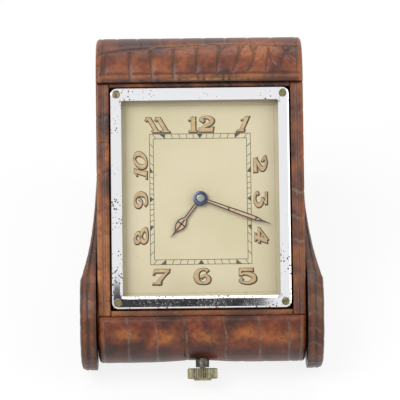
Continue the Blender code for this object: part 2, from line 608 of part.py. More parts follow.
def unit_pieces(clock, finishes):
    """What drops into the case's pocket: chrome bezel, glass, metal band and cover, dial."""
    outer = round_box(BEZEL_WIDTH / 2, BEZEL_HEIGHT / 2, BEZEL_CORNER)
    front = depth(BEZEL_FRONT_DEPTH)
    form = rounded(prism(outer, front, front + BEZEL_THICKNESS, "Y"), EDGE_ROUND, 2, math.radians(60.0))
    bezel = finished("bezel", form, finishes["chrome"], clock)
    sight = bmesh.new()
    spread = BEZEL_BEVEL + OVERRUN
    rings = []
    past = front + BEZEL_THICKNESS + OVERRUN
    for y, grow in ((front - OVERRUN, spread), (front + BEZEL_BEVEL, 0.0), (past, 0.0)):
        wide = round_box(WINDOW_WIDTH / 2 + grow, WINDOW_HEIGHT / 2 + grow, EDGE_ROUND + grow, 2)
        rings.append([sight.verts.new((x, y, z)) for x, z in wide])
    for near, far in zip(rings, rings[1:]):
        for index in range(len(near)):
            after = (index + 1) % len(near)
            sight.faces.new((near[index], near[after], far[after], far[index]))
    sight.faces.new(rings[0])
    sight.faces.new(rings[-1])
    rebate = round_box(WINDOW_WIDTH / 2 + GLASS_REBATE, WINDOW_HEIGHT / 2 + GLASS_REBATE, EDGE_ROUND, 2)
    cut(bezel, sight, prism(rebate, depth(GLASS_FRONT_DEPTH - FIT), front + BEZEL_THICKNESS + OVERRUN, "Y"))
    for place in screw_places():
        cut(bezel, disc(place, SCREW_HEAD_RADIUS + RUN, front - OVERRUN, front + SCREW_HEAD_HEIGHT),
            disc(place, SCREW_SHANK_RADIUS + RUN, front, front + BEZEL_THICKNESS + OVERRUN, PIVOT_SIDES))
    shade(bezel)

    head = front + RUN
    under = front + SCREW_HEAD_HEIGHT - RUN
    tip = front + SCREW_LENGTH
    profile = [(0.0, head), (SCREW_HEAD_RADIUS - RUN, head), (SCREW_HEAD_RADIUS, head + RUN),
               (SCREW_HEAD_RADIUS, under), (SCREW_SHANK_RADIUS, under), (SCREW_SHANK_RADIUS, tip), (0.0, tip)]
    reach = SCREW_HEAD_RADIUS * 2
    for place, word, degrees in zip(screw_places(), CORNER_WORDS, SCREW_TURNS):
        form = turned(profile, "Y", 14)
        screw = finished("bezel_screw_" + word, form, finishes["nickel"], clock, flat(place))
        slot = block((-reach, reach), (front - OVERRUN, head + SCREW_SLOT_DEPTH),
                     (-SCREW_SLOT_WIDTH / 2, SCREW_SLOT_WIDTH / 2))
        turn = Matrix.Rotation(math.radians(degrees), 3, "Y")
        bmesh.ops.rotate(slot, verts=slot.verts, cent=(0, 0, 0), matrix=turn)
        shade(cut(screw, slot))

    pane_half = (WINDOW_WIDTH / 2 + GLASS_REBATE - FIT, WINDOW_HEIGHT / 2 + GLASS_REBATE - FIT)
    pane_front = depth(GLASS_FRONT_DEPTH)
    pane = prism(round_box(*pane_half, EDGE_ROUND, 2), pane_front, pane_front + GLASS_THICKNESS, "Y")
    finished("glass", pane, finishes["glass"], clock)

    sleeve = prism(outer, depth(BAND_FRONT_DEPTH), depth(BAND_BACK_DEPTH), "Y")
    band = finished("movement_band", sleeve, finishes["tin"], clock)
    inner = round_box(BEZEL_WIDTH / 2 - BAND_WALL, BEZEL_HEIGHT / 2 - BAND_WALL, BEZEL_CORNER - BAND_WALL)
    cut(band, prism(inner, depth(BAND_FRONT_DEPTH) - OVERRUN, depth(BAND_BACK_DEPTH) + OVERRUN, "Y"))
    for x, z in screw_places():
        lug_back = depth(BAND_FRONT_DEPTH) + LUG_DEPTH
        across, up = (x - LUG_HALF, x + LUG_HALF), (z - LUG_HALF, z + LUG_HALF)
        lug = block(across, (depth(BAND_FRONT_DEPTH), lug_back), up)
        joined(band, lug)
        cut(band, disc((x, z), SCREW_SHANK_RADIUS + RUN, depth(0.0), lug_back + OVERRUN, PIVOT_SIDES))
    wall = -BEZEL_HEIGHT / 2
    stem_hole = stem_bore(STEM_RADIUS + FIT, wall - OVERRUN, wall + OVERRUN)
    shade(cut(band, stem_hole))

    cover = prism(outer, depth(BAND_BACK_DEPTH + FIT), depth(COVER_BACK_DEPTH), "Y")
    finished("movement_cover", cover, finishes["tin"], clock)

    dial_half = (BEZEL_WIDTH / 2 - BAND_WALL - FIT, BEZEL_HEIGHT / 2 - BAND_WALL - FIT)
    dial_front = depth(DIAL_FRONT_DEPTH)
    sheet = round_box(*dial_half, BEZEL_CORNER - BAND_WALL)
    plate = prism(sheet, dial_front, dial_front + DIAL_THICKNESS, "Y")
    dial = finished("dial", plate, finishes["dial"], clock)
    foot_low = dial_front + DIAL_THICKNESS / 2
    for place in foot_places():
        joined(dial, disc(place, DIAL_FOOT_RADIUS, foot_low, foot_low + DIAL_FOOT_REACH,
                         PIVOT_SIDES))
    shade(cut(dial, disc(CENTRE, HOUR_PIPE_RADIUS + FIT, dial_front - OVERRUN, dial_front + OVERRUN)))


def foot_places():
    across = PLATE_WIDTH / 2 - PILLAR_INSET
    up = PLATE_HEIGHT * FOOT_HEIGHT_SHARE
    return [(-across, up), (across, -up)]


def pillar_places():
    across = PLATE_WIDTH / 2 - PILLAR_INSET
    up = PLATE_HEIGHT / 2 - PILLAR_INSET
    return [(side * across, level * up) for side in (-1, 1) for level in (-1, 1)]


def hand_outline(length, half_width, shares, angle):
    """A pointed hand's outline round its arm, turned clockwise from twelve."""
    points = [(across * half_width, along * length) for along, across in shares]
    points += [(-across * half_width, along * length) for along, across in reversed(shares)]
    cos, sin = math.cos(angle), math.sin(angle)
    return [(x * cos + z * sin, z * cos - x * sin) for x, z in points]


def hand_pieces(clock, finishes):
    """Two hands and the round nut that holds them on the centre arbor."""
    blued = finishes["blued"]
    minute_back = depth(DIAL_FRONT_DEPTH - MINUTE_HAND_LIFT)
    minute_front = minute_back - HAND_THICKNESS
    arm = hand_outline(MINUTE_HAND_LENGTH, MINUTE_HAND_HALF_WIDTH, MINUTE_HAND_SHARES, MINUTE_ANGLE)
    minute = finished("minute_hand", prism(arm, minute_front, minute_back, "Y"), blued, clock)
    joined(minute, disc(CENTRE, HAND_HUB_RADIUS, minute_front, minute_back))
    cut(minute, disc(CENTRE, CENTRE_ARBOR_RADIUS + RUN, minute_front - OVERRUN, minute_back + OVERRUN))
    hour_back = depth(DIAL_FRONT_DEPTH - HOUR_HAND_LIFT)
    hour_front = hour_back - HAND_THICKNESS
    arm = hand_outline(HOUR_HAND_LENGTH, HOUR_HAND_HALF_WIDTH, HOUR_HAND_SHARES, HOUR_ANGLE)
    hour = finished("hour_hand", prism(arm, hour_front, hour_back, "Y"), blued, clock)
    joined(hour, disc(CENTRE, HAND_HUB_RADIUS, hour_front, hour_back))
    cut(hour, disc(CENTRE, CENTRE_ARBOR_RADIUS + FIT, hour_front - OVERRUN, hour_back + OVERRUN))
    nut_back = minute_front - FIT
    nut = disc(CENTRE, HAND_NUT_RADIUS, nut_back - HAND_NUT_HEIGHT, nut_back)
    finished("hand_nut", rounded(nut, HAND_NUT_HEIGHT / 3, 2, math.radians(60.0)), finishes["steel"], clock)
    for piece in (minute, hour):
        shade(piece)


def flat(place):
    """An object's place in the clock's frame, from a point of the dial's plane."""
    return (place[0], 0.0, place[1])


def stacked(name, place, clock, finish, *layers):
    """Joins layers on one arbor. A layer is an outline with the depths of its front and back."""
    first, *others = layers
    piece = finished(name, prism(first[0], depth(first[1]), depth(first[2]), "Y"), finish, clock, flat(place))
    for outline, near, far in others:
        joined(piece, prism(outline, depth(near), depth(far), "Y"))
    return piece


def arbor_layers(front, back, radius=ARBOR_RADIUS):
    """A pivoted arbor that runs between the two plates."""
    return ((circle(CENTRE, PIVOT_RADIUS, PIVOT_SIDES), front, back),
            (circle(CENTRE, radius, ARBOR_SIDES), TRAIN_FRONT + FIT, BACK_PLATE_DEPTH - FIT))


def plate_pieces(clock, finishes):
    """Front and back plate of the movement, and the four pillars that hold them apart."""
    brass = finishes["brass"]
    outline = round_box(PLATE_WIDTH / 2, PLATE_HEIGHT / 2, PLATE_CORNER, 5)
    small = (THIRD_PLACE, FOURTH_PLACE, ESCAPE_PLACE, PALLET_PLACE, BALANCE_PLACE)
    window_half = pitch_radius(STEM_PINION_TEETH + 2, STEM_PINION_MODULE) + FIT
    window_top = -STEM_PINION_TOP + FIT
    window_bottom = -STEM_PINION_TOP - STEM_PINION_LENGTH - PULL_TRAVEL - FIT
    for name, near in (("main_plate", MAIN_PLATE_DEPTH), ("back_plate", BACK_PLATE_DEPTH)):
        front, back = depth(near), depth(near + PLATE_THICKNESS)
        plate = finished(name, prism(outline, front, back, "Y"), brass, clock)
        through = (front - OVERRUN, back + OVERRUN)
        cut(plate, block((-window_half, window_half), through, (window_bottom, window_top)))
        for place in small:
            cut(plate, disc(place, PIVOT_RADIUS + RUN, front - OVERRUN, back + OVERRUN, PIVOT_SIDES))
        for place in (CENTRE, BARREL_PLACE):
            cut(plate, disc(place, CENTRE_ARBOR_RADIUS + RUN, front - OVERRUN, back + OVERRUN, ARBOR_SIDES))
        if name == "main_plate":
            for place in foot_places():
                cut(plate, disc(place, DIAL_FOOT_RADIUS + RUN, front - OVERRUN, back + OVERRUN, PIVOT_SIDES))
            post_back = front + PLATE_THICKNESS / 2
            post = disc(MINUTE_WHEEL_PLACE, PIVOT_RADIUS, depth(MOTION_DEPTH), post_back, PIVOT_SIDES)
            joined(plate, post)
        else:
            crown_post = disc(CROWN_PLACE, ARBOR_RADIUS, back - PLATE_THICKNESS / 2,
                              depth(RATCHET_DEPTH + RATCHET_THICKNESS), ARBOR_SIDES)
            joined(plate, crown_post)
        shade(plate)
    for place, word in zip(pillar_places(), CORNER_WORDS):
        front, back = depth(TRAIN_FRONT + FIT), depth(BACK_PLATE_DEPTH - FIT)
        pillar = disc(CENTRE, PILLAR_RADIUS, front, back, ARBOR_SIDES)
        shade(finished("plate_pillar_" + word, pillar, brass, clock, flat(place)))


def spiral(inner, pitch, turns, wire, steps=12):
    """A flat coil's outline."""
    inside, outside = [], []
    for step in range(int(turns * steps) + 1):
        angle = math.tau * step / steps
        radius = inner + pitch * step / steps
        inside.append((radius * math.cos(angle), radius * math.sin(angle)))
        outside.append(((radius + wire) * math.cos(angle), (radius + wire) * math.sin(angle)))
    return outside + inside[::-1]


def train_pieces(clock, finishes):
    """Going barrel, centre, third, fourth and escape wheels."""
    brass, steel = finishes["brass"], finishes["steel"]
    rear = BACK_PLATE_REAR - RUN
    front = MAIN_PLATE_DEPTH + RUN

    teeth = gear_outline(BARREL_TEETH, BARREL_MODULE, gap_phase(BARREL_TEETH, BARREL_DIRECTION + math.pi))
    barrel_back = BARREL_DEPTH + BARREL_HEIGHT
    barrel = stacked("barrel", BARREL_PLACE, clock, brass,
                     (teeth, BARREL_DEPTH, BARREL_DEPTH + BARREL_FLOOR),
                     (circle(CENTRE, DRUM_RADIUS, DRUM_SIDES), BARREL_DEPTH + BARREL_FLOOR / 2, barrel_back))
    inside = depth(BARREL_DEPTH + BARREL_FLOOR)
    cut(barrel, disc(CENTRE, DRUM_RADIUS - DRUM_WALL, inside, depth(barrel_back) + OVERRUN,
                     DRUM_SIDES),
        disc(CENTRE, CENTRE_ARBOR_RADIUS + RUN, depth(BARREL_DEPTH) - OVERRUN, depth(barrel_back),
             ARBOR_SIDES))
    coil = spiral(SPRING_INNER_RADIUS, SPRING_PITCH, SPRING_TURNS, SPRING_STRIP)
    spring = prism(coil, depth(BARREL_DEPTH + BARREL_FLOOR + FIT), depth(barrel_back - FIT), "Y")
    finished("mainspring", spring, steel, clock, flat(BARREL_PLACE))
    stacked("barrel_arbor", BARREL_PLACE, clock, steel,
            (circle(CENTRE, CENTRE_ARBOR_RADIUS, ARBOR_SIDES), front,
             RATCHET_DEPTH + RATCHET_THICKNESS + FIT),
            (circle(CENTRE, SPRING_CORE_RADIUS, 24), BARREL_DEPTH + BARREL_FLOOR + FIT, barrel_back))

    wheel = gear_outline(CENTRE_TEETH, CENTRE_MODULE, THIRD_DIRECTION)
    pinion = gear_outline(CENTRE_PINION_TEETH, BARREL_MODULE, BARREL_DIRECTION)
    stacked("centre_wheel", CENTRE, clock, brass,
            (wheel, CENTRE_WHEEL_DEPTH, CENTRE_WHEEL_DEPTH + WHEEL_THICKNESS),
            (pinion, CENTRE_WHEEL_DEPTH + WHEEL_THICKNESS / 2, BARREL_DEPTH + BARREL_FLOOR + PLANE_GAP),
            (circle(CENTRE, CENTRE_ARBOR_RADIUS, ARBOR_SIDES), CENTRE_ARBOR_FRONT, rear))

    wheel = gear_outline(THIRD_TEETH, THIRD_MODULE)
    facing = gap_phase(THIRD_PINION_TEETH, THIRD_DIRECTION + math.pi)
    pinion = gear_outline(THIRD_PINION_TEETH, CENTRE_MODULE, facing)
    stacked("third_wheel", THIRD_PLACE, clock, brass,
            (wheel, THIRD_WHEEL_DEPTH, THIRD_WHEEL_DEPTH + WHEEL_THICKNESS),
            (pinion, TRAIN_FRONT + FIT + RUN, CENTRE_WHEEL_DEPTH + WHEEL_THICKNESS + PLANE_GAP),
            *arbor_layers(front, rear))

    wheel = gear_outline(FOURTH_TEETH, FOURTH_MODULE)
    pinion = gear_outline(FOURTH_PINION_TEETH, THIRD_MODULE)
    stacked("fourth_wheel", FOURTH_PLACE, clock, brass,
            (wheel, FOURTH_WHEEL_DEPTH, FOURTH_WHEEL_DEPTH + WHEEL_THICKNESS),
            (pinion, THIRD_WHEEL_DEPTH - PLANE_GAP, THIRD_WHEEL_DEPTH + WHEEL_THICKNESS + PLANE_GAP),
            *arbor_layers(front, rear))

    wheel = []
    for index in range(ESCAPE_TEETH):
        start = math.tau * index / ESCAPE_TEETH
        valley = start + math.tau / ESCAPE_TEETH * ESCAPE_VALLEY_SHARE
        wheel.append((ESCAPE_RADIUS * math.cos(start), ESCAPE_RADIUS * math.sin(start)))
        root = ESCAPE_RADIUS - ESCAPE_TOOTH
        wheel.append((root * math.cos(valley), root * math.sin(valley)))
    pinion = gear_outline(ESCAPE_PINION_TEETH, FOURTH_MODULE)
    stacked("escape_wheel", ESCAPE_PLACE, clock, steel,
            (wheel, THIRD_WHEEL_DEPTH, THIRD_WHEEL_DEPTH + WHEEL_THICKNESS),
            (pinion, FOURTH_WHEEL_DEPTH - PLANE_GAP, FOURTH_WHEEL_DEPTH + WHEEL_THICKNESS + PLANE_GAP),
            *arbor_layers(front, rear))


def turned_points(shares, length, direction):
    """Points written along and across a line, as shares of a length, turned to that line's direction."""
    along, across = math.cos(direction) * length, math.sin(direction) * length
    return [(u * along - v * across, u * across + v * along) for u, v in shares]


def escapement_pieces(clock, finishes):
    """Pallet lever, balance wheel on its staff, hairspring, and the cock over the balance."""
    steel, brass = finishes["steel"], finishes["brass"]
    rear = BACK_PLATE_REAR - RUN
    front = MAIN_PLATE_DEPTH + RUN
    lever = turned_points(LEVER_SHARES, FORK_LENGTH, PALLET_DIRECTION)
    stacked("pallet_lever", PALLET_PLACE, clock, steel,
            (lever, THIRD_WHEEL_DEPTH, THIRD_WHEEL_DEPTH + WHEEL_THICKNESS), *arbor_layers(front, rear))

    near = BACK_PLATE_REAR + BALANCE_LIFT
    far = near + BALANCE_THICKNESS
    spring_depth = far + BALANCE_LIFT
    cock_depth = spring_depth + HAIRSPRING_HEIGHT + BALANCE_LIFT
    rim = circle(CENTRE, BALANCE_RADIUS, 28)
    balance = stacked("balance_wheel", BALANCE_PLACE, clock, brass, (rim, near, far))
    cut(balance, disc(CENTRE, BALANCE_RADIUS - BALANCE_RIM, depth(near) - OVERRUN, depth(far) + OVERRUN, 28))
    reach = BALANCE_RADIUS - BALANCE_RIM / 2
    thick = BALANCE_THICKNESS / 4
    joined(balance, block((-reach, reach), (depth(near + thick), depth(far - thick)),
                          (-BALANCE_SPOKE_HALF, BALANCE_SPOKE_HALF)),
           disc(CENTRE, PIVOT_RADIUS, depth(front), depth(cock_depth + COCK_THICKNESS / 2), PIVOT_SIDES),
           disc(CENTRE, ARBOR_RADIUS, depth(near - FIT), depth(far + FIT), ARBOR_SIDES))

    coil = spiral(HAIRSPRING_INNER_RADIUS, HAIRSPRING_PITCH, HAIRSPRING_TURNS, HAIRSPRING_WIRE)
    form = prism(coil, depth(spring_depth), depth(spring_depth + HAIRSPRING_HEIGHT), "Y")
    finished("hairspring", form, finishes["blued"], clock, flat(BALANCE_PLACE))

    foot = towards(CENTRE, COCK_DIRECTION, COCK_REACH)
    arm = turned_points(COCK_SHARES, COCK_REACH, COCK_DIRECTION)
    form = prism(arm, depth(cock_depth), depth(cock_depth + COCK_THICKNESS), "Y")
    cock = finished("balance_cock", form, brass, clock, flat(BALANCE_PLACE))
    foot_back = depth(cock_depth + COCK_THICKNESS / 2)
    joined(cock, disc(foot, COCK_FOOT_RADIUS, depth(BACK_PLATE_REAR + RUN), foot_back))
    cock_back = depth(cock_depth) + COCK_THICKNESS
    cut(cock, disc(CENTRE, PIVOT_RADIUS + RUN, depth(near), cock_back + OVERRUN, PIVOT_SIDES))
    shade(balance)
    shade(cock)


def motion_pieces(clock, finishes):
    """The wheels between dial and plate that drive the hour hand from the minute hand."""
    brass, steel = finishes["brass"], finishes["steel"]
    back = MAIN_PLATE_DEPTH - FIT
    cannon = gear_outline(CANNON_TEETH, MOTION_MODULE, MINUTE_WHEEL_DIRECTION)
    wheel_front = MOTION_DEPTH + HOUR_WHEEL_THICKNESS + FIT
    piece = stacked("cannon_pinion", CENTRE, clock, steel, (cannon, wheel_front, back))
    bore = (depth(MOTION_DEPTH) - OVERRUN, depth(back) + OVERRUN)
    cut(piece, disc(CENTRE, CENTRE_ARBOR_RADIUS + RUN, *bore, ARBOR_SIDES))
    toward_centre = MINUTE_WHEEL_DIRECTION + math.pi
    wheel = gear_outline(MINUTE_WHEEL_TEETH, MOTION_MODULE, gap_phase(MINUTE_WHEEL_TEETH, toward_centre))
    pinion = gear_outline(MINUTE_PINION_TEETH, HOUR_MODULE, toward_centre)
    piece = stacked("minute_wheel", MINUTE_WHEEL_PLACE, clock, brass, (wheel, wheel_front, back),
                    (pinion, MOTION_DEPTH, wheel_front + FIT))
    cut(piece, disc(CENTRE, PIVOT_RADIUS + RUN, *bore, PIVOT_SIDES))
    wheel = gear_outline(HOUR_TEETH, HOUR_MODULE, gap_phase(HOUR_TEETH, MINUTE_WHEEL_DIRECTION))
    pipe = circle(CENTRE, HOUR_PIPE_RADIUS)
    piece = stacked("hour_wheel", CENTRE, clock, brass,
                    (wheel, MOTION_DEPTH, MOTION_DEPTH + HOUR_WHEEL_THICKNESS),
                    (pipe, HOUR_PIPE_FRONT, MOTION_DEPTH + HOUR_WHEEL_THICKNESS / 2))
    cut(piece, disc(CENTRE, HOUR_PIPE_BORE, depth(HOUR_PIPE_FRONT) - OVERRUN, depth(MAIN_PLATE_DEPTH)))


def winding_pieces(clock, case, finishes):
    """Ratchet and crown wheels, stem with its pinion, sliding sleeve and knurled knob."""
    steel = finishes["steel"]
    span = (RATCHET_DEPTH, RATCHET_DEPTH + RATCHET_THICKNESS)
    wheel = gear_outline(RATCHET_TEETH, WINDING_MODULE, gap_phase(RATCHET_TEETH, CROWN_ANGLE + math.pi))
    ratchet = stacked("ratchet_wheel", BARREL_PLACE, clock, steel, (wheel, *span))
    through = (depth(span[0]) - OVERRUN, depth(span[1]) + OVERRUN)
    cut(ratchet, disc(CENTRE, CENTRE_ARBOR_RADIUS + RUN, *through, ARBOR_SIDES))
    wheel = gear_outline(CROWN_TEETH, WINDING_MODULE, CROWN_ANGLE)
    crown = stacked("crown_wheel", CROWN_PLACE, clock, steel, (wheel, *span))
    cut(crown, disc(CENTRE, ARBOR_RADIUS + RUN, *through, ARBOR_SIDES))

    line = (0.0, depth(STEM_DEPTH), 0.0)
    pinion_top = CLOCK_HEIGHT_ABOVE_HINGE - STEM_PINION_TOP
    teeth = gear_outline(STEM_PINION_TEETH, STEM_PINION_MODULE)
    form = prism(teeth, pinion_top - STEM_PINION_LENGTH, pinion_top, "Z")
    pinion = finished("winding_pinion", form, steel, case, line)
    cut(pinion, prism(circle(CENTRE, STEM_RADIUS + RUN, ARBOR_SIDES), 0.0, CLOCK_HEIGHT_ABOVE_HINGE, "Z"))
    sleeve_low = -ROLL_RADIUS - FERRULE_REACH - RUN
    form = prism(circle(CENTRE, FERRULE_BORE - RUN), sleeve_low, sleeve_low + SLEEVE_LENGTH, "Z")
    sleeve = finished("stem_sleeve", form, steel, case, line)
    bore = circle(CENTRE, STEM_RADIUS + RUN, ARBOR_SIDES)
    shade(cut(sleeve, prism(bore, sleeve_low - OVERRUN, OVERRUN, "Z")))
    knob_top = sleeve_low - FIT
    knob_low = knob_top - KNOB_HEIGHT
    stem_low = knob_low + KNOB_BOSS_HEIGHT
    stem_top = CLOCK_HEIGHT_ABOVE_HINGE - STEM_END_GAP
    stem = prism(circle(CENTRE, STEM_RADIUS, ARBOR_SIDES), stem_low + FIT, stem_top, "Z")
    shade(finished("winding_stem", stem, steel, case, line))

    ridges = []
    for index in range(KNURL_COUNT * 2):
        angle = math.pi * index / KNURL_COUNT
        radius = KNOB_RADIUS - (index % 2) * KNURL_DEPTH
        ridges.append((radius * math.cos(angle), radius * math.sin(angle)))

    def rim_edge(edge):
        return abs(edge.verts[0].co.z - edge.verts[1].co.z) < FIT

    form = rounded(prism(ridges, knob_low, knob_top, "Z"), KNURL_DEPTH / 2, 1, math.radians(60.0), rim_edge)
    knob = finished("winding_knob", form, finishes["knob"], case, line)
    boss = circle(CENTRE, KNOB_BOSS_RADIUS)
    joined(knob, prism(boss, knob_low - KNOB_BOSS_HEIGHT, knob_low + KNOB_BOSS_HEIGHT, "Z"))
    bore = circle(CENTRE, STEM_RADIUS + FIT, ARBOR_SIDES)
    shade(cut(knob, prism(bore, stem_low, knob_top + OVERRUN, "Z")))


def stand_pieces(stand, finishes):
    """The tray-like stand: two leather-covered cheeks on a floor, with a steel pin in each cheek."""
    hide = finishes["leather"]
    inner_x = CASE_WIDTH / 2 + SIDE_GAP
    outer_x = inner_x + CHEEK_THICKNESS
    far = CHEEK_LENGTH - CHEEK_FAR_ROUND
    outline = arc(CENTRE, CHEEK_RADIUS, 90.0, 270.0, 18)
    outline += arc((far, -CHEEK_RADIUS + CHEEK_FAR_ROUND), CHEEK_FAR_ROUND, 270.0, 360.0, 6)
    outline += arc((far, CHEEK_FAR_EDGE - CHEEK_FAR_ROUND), CHEEK_FAR_ROUND, 0.0, 84.0, 6)
    floor_x = CASE_WIDTH / 2 + SIDE_GAP - FIT
    for side, word in ((-1, "left"), (1, "right")):
        low, high = sorted((side * inner_x, side * outer_x))
        form = prism(outline, low, high, "X")

        def outer_edge(edge):
            return all(abs(v.co.x) > outer_x - EDGE_ROUND for v in edge.verts)

        rounded(form, CHEEK_ROUND, 2, math.radians(60.0), outer_edge)
        for share in CHEEK_STATION_SHARES:
            everything = form.verts[:] + form.edges[:] + form.faces[:]
            station = (0.0, CHEEK_LENGTH * share, 0.0)
            bmesh.ops.bisect_plane(form, geom=everything, dist=FIT / 10, plane_co=station,
                                   plane_no=(0.0, 1.0, 0.0))
        for vert in form.verts:
            left = 1.0 - min(max(vert.co.y / CHEEK_LENGTH, 0.0), 1.0)
            thin = CHEEK_FAR_SHARE + (1.0 - CHEEK_FAR_SHARE) * left ** CHEEK_THINNING
            vert.co.x = side * (inner_x + (abs(vert.co.x) - inner_x) * thin)
        cheek = finished("stand_cheek_" + word, form, hide, stand, (0.0, 0.0, CHEEK_RADIUS))
        pin_end = inner_x + PIN_IN_CHEEK
        cut(cheek, hinge_bore(PIN_RADIUS + FIT, inner_x - OVERRUN, pin_end + FIT, side))
        shade(cheek, math.radians(40.0))
        pin = hinge_bore(PIN_RADIUS, CORE_HALF_WIDTH - BUSH_LENGTH, pin_end, side)
        shade(finished("hinge_pin_" + word, pin, finishes["steel"], stand, (0.0, 0.0, CHEEK_RADIUS)))
    floor = block((-floor_x, floor_x), (FLOOR_START, CHEEK_LENGTH), (0.0, FLOOR_THICKNESS))

    def far_corner(edge):
        first, second = edge.verts
        return all(v.co.y > far for v in edge.verts) and abs(first.co.z - second.co.z) > FIT

    rounded(floor, FLOOR_END_ROUND, 4, math.radians(60.0), far_corner)
    shade(finished("stand_floor", floor, hide, stand))


def world_bounds(pieces):
    points = [piece.matrix_world @ v.co for piece in pieces for v in piece.data.vertices]
    return [(min(p[axis] for p in points), max(p[axis] for p in points)) for axis in range(3)]


def empty(name, parent=None, place=(0.0, 0.0, 0.0), turn=0.0):
    frame = bpy.data.objects.new(name, None)
    bpy.context.scene.collection.objects.link(frame)
    frame.parent = parent
    frame.location = place
    frame.rotation_euler = (turn, 0.0, 0.0)
    return frame


clear_scene()
FINISHES = {
    "leather": material("leather", 0.28, 0.12, 0.09, 0.55),
    "wood": material("wood", 0.45, 0.30, 0.17, 0.7),
    "chrome": material("chrome", 0.80, 0.80, 0.79, 0.15, 1.0),
    "nickel": material("screw_nickel", 0.72, 0.66, 0.50, 0.3, 1.0),
    "glass": material("glass", 0.90, 0.94, 0.93, 0.02),
    "tin": material("tinned_sheet", 0.60, 0.60, 0.58, 0.4, 1.0),
    "dial": material("cream_enamel", 0.72, 0.66, 0.46, 0.6),
    "brass": material("brass", 0.72, 0.55, 0.24, 0.3, 1.0),
    "steel": material("steel", 0.55, 0.55, 0.55, 0.3, 1.0),
    "blued": material("blued_steel", 0.05, 0.07, 0.16, 0.3, 1.0),
    "knob": material("knob_nickel", 0.62, 0.60, 0.54, 0.35, 1.0),
}
STAND = empty("stand_frame")
CASE = empty("case_frame", STAND, (0.0, 0.0, CHEEK_RADIUS), -LEAN)
CLOCK = empty("clock_frame", CASE, (0.0, 0.0, CLOCK_HEIGHT_ABOVE_HINGE))
bpy.context.view_layer.update()
stand_pieces(STAND, FINISHES)
case_pieces(CASE, FINISHES)
unit_pieces(CLOCK, FINISHES)
hand_pieces(CLOCK, FINISHES)
plate_pieces(CLOCK, FINISHES)
motion_pieces(CLOCK, FINISHES)
train_pieces(CLOCK, FINISHES)
escapement_pieces(CLOCK, FINISHES)
winding_pieces(CLOCK, CASE, FINISHES)
bpy.context.view_layer.update()
SPANS = world_bounds([piece for piece in bpy.data.objects if piece.type == "MESH"])
STAND.location.y = -(SPANS[1][0] + SPANS[1][1]) / 2
STAND.location.z = -SPANS[2][0]
bpy.context.view_layer.update()
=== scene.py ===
"""Looks of a folding travel clock: reptile hide, chrome, a cream dial and a knurled knob."""

import json
import math

import bmesh
import bpy
import numpy as np
from mathutils import Matrix, Vector, noise


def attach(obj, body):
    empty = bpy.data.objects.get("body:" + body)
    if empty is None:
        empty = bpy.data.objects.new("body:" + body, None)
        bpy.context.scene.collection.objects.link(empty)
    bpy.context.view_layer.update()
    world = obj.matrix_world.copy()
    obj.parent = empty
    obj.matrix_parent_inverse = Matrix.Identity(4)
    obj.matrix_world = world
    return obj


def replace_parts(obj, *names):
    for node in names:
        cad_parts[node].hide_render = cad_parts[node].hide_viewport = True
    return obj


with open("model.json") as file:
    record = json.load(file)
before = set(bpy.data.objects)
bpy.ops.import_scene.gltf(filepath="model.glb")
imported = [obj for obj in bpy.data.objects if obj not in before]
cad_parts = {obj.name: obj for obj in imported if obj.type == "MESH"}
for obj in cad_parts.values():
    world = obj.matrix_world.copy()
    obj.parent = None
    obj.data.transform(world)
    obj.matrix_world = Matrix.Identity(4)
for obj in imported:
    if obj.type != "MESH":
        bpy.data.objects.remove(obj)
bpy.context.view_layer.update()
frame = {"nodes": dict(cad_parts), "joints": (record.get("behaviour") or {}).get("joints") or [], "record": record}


# Case carcass. Thin beech boards and two half-round ends, glued up before the leather goes on.
# It shows only as dark wood in the seams, sanded along the grain and browned with age.
def srgb(code):
    channels = [int(code[i:i + 2], 16) / 255.0 for i in (0, 2, 4)]
    return tuple(c / 12.92 if c <= 0.04045 else ((c + 0.055) / 1.055) ** 2.4
                 for c in channels) + (1.0,)


def add(tree, kind, links=(), stops=(), **settings):
    """Adds a shader node with its settings. A link is a socket and a value, or a feeding output."""
    made = tree.nodes.new("ShaderNode" + kind)
    for word, value in settings.items():
        setattr(made, word, value)
    for k, (position, code) in enumerate(stops):
        stop = made.color_ramp.elements[k] if k < 2 else made.color_ramp.elements.new(position)
        stop.position, stop.color = position, srgb(code)
    for socket, value in links:
        if isinstance(value, bpy.types.NodeSocket):
            tree.links.new(value, made.inputs[socket])
        else:
            made.inputs[socket].default_value = value
    return made


def start(name):
    """A new material, with its tree, its shader and the object's own coordinates in metres."""
    material = bpy.data.materials.new(name)
    material.use_nodes = True
    tree = material.node_tree
    return material, tree, tree.nodes["Principled BSDF"], add(tree, "TexCoord").outputs["Object"]


def dress(material, *nodes):
    for node in nodes:
        frame["nodes"][node].data.materials.clear()
        frame["nodes"][node].data.materials.append(material)


# Sanded beech: growth lines 3.17 mm apart give the eye fine stripes with no shine. The wave pattern
# repeats itself each 20th of a full turn, in its own scale.
WAVE_REPEAT = math.tau / 20
beech, tree, shader, place = start("sanded_beech")
grain = add(tree, "TexWave", [("Vector", place), ("Scale", 1000 * WAVE_REPEAT / 3.1667),
                              ("Distortion", 5.0), ("Detail", 3.0)])
tone = add(tree, "ValToRGB", [("Fac", grain.outputs["Fac"])],
           stops=((0.2, "4d3626"), (0.8, "6f5439")))
tree.links.new(tone.outputs["Color"], shader.inputs["Base Color"])
shader.inputs["Roughness"].default_value = 0.8
dress(beech, "case_carcass")


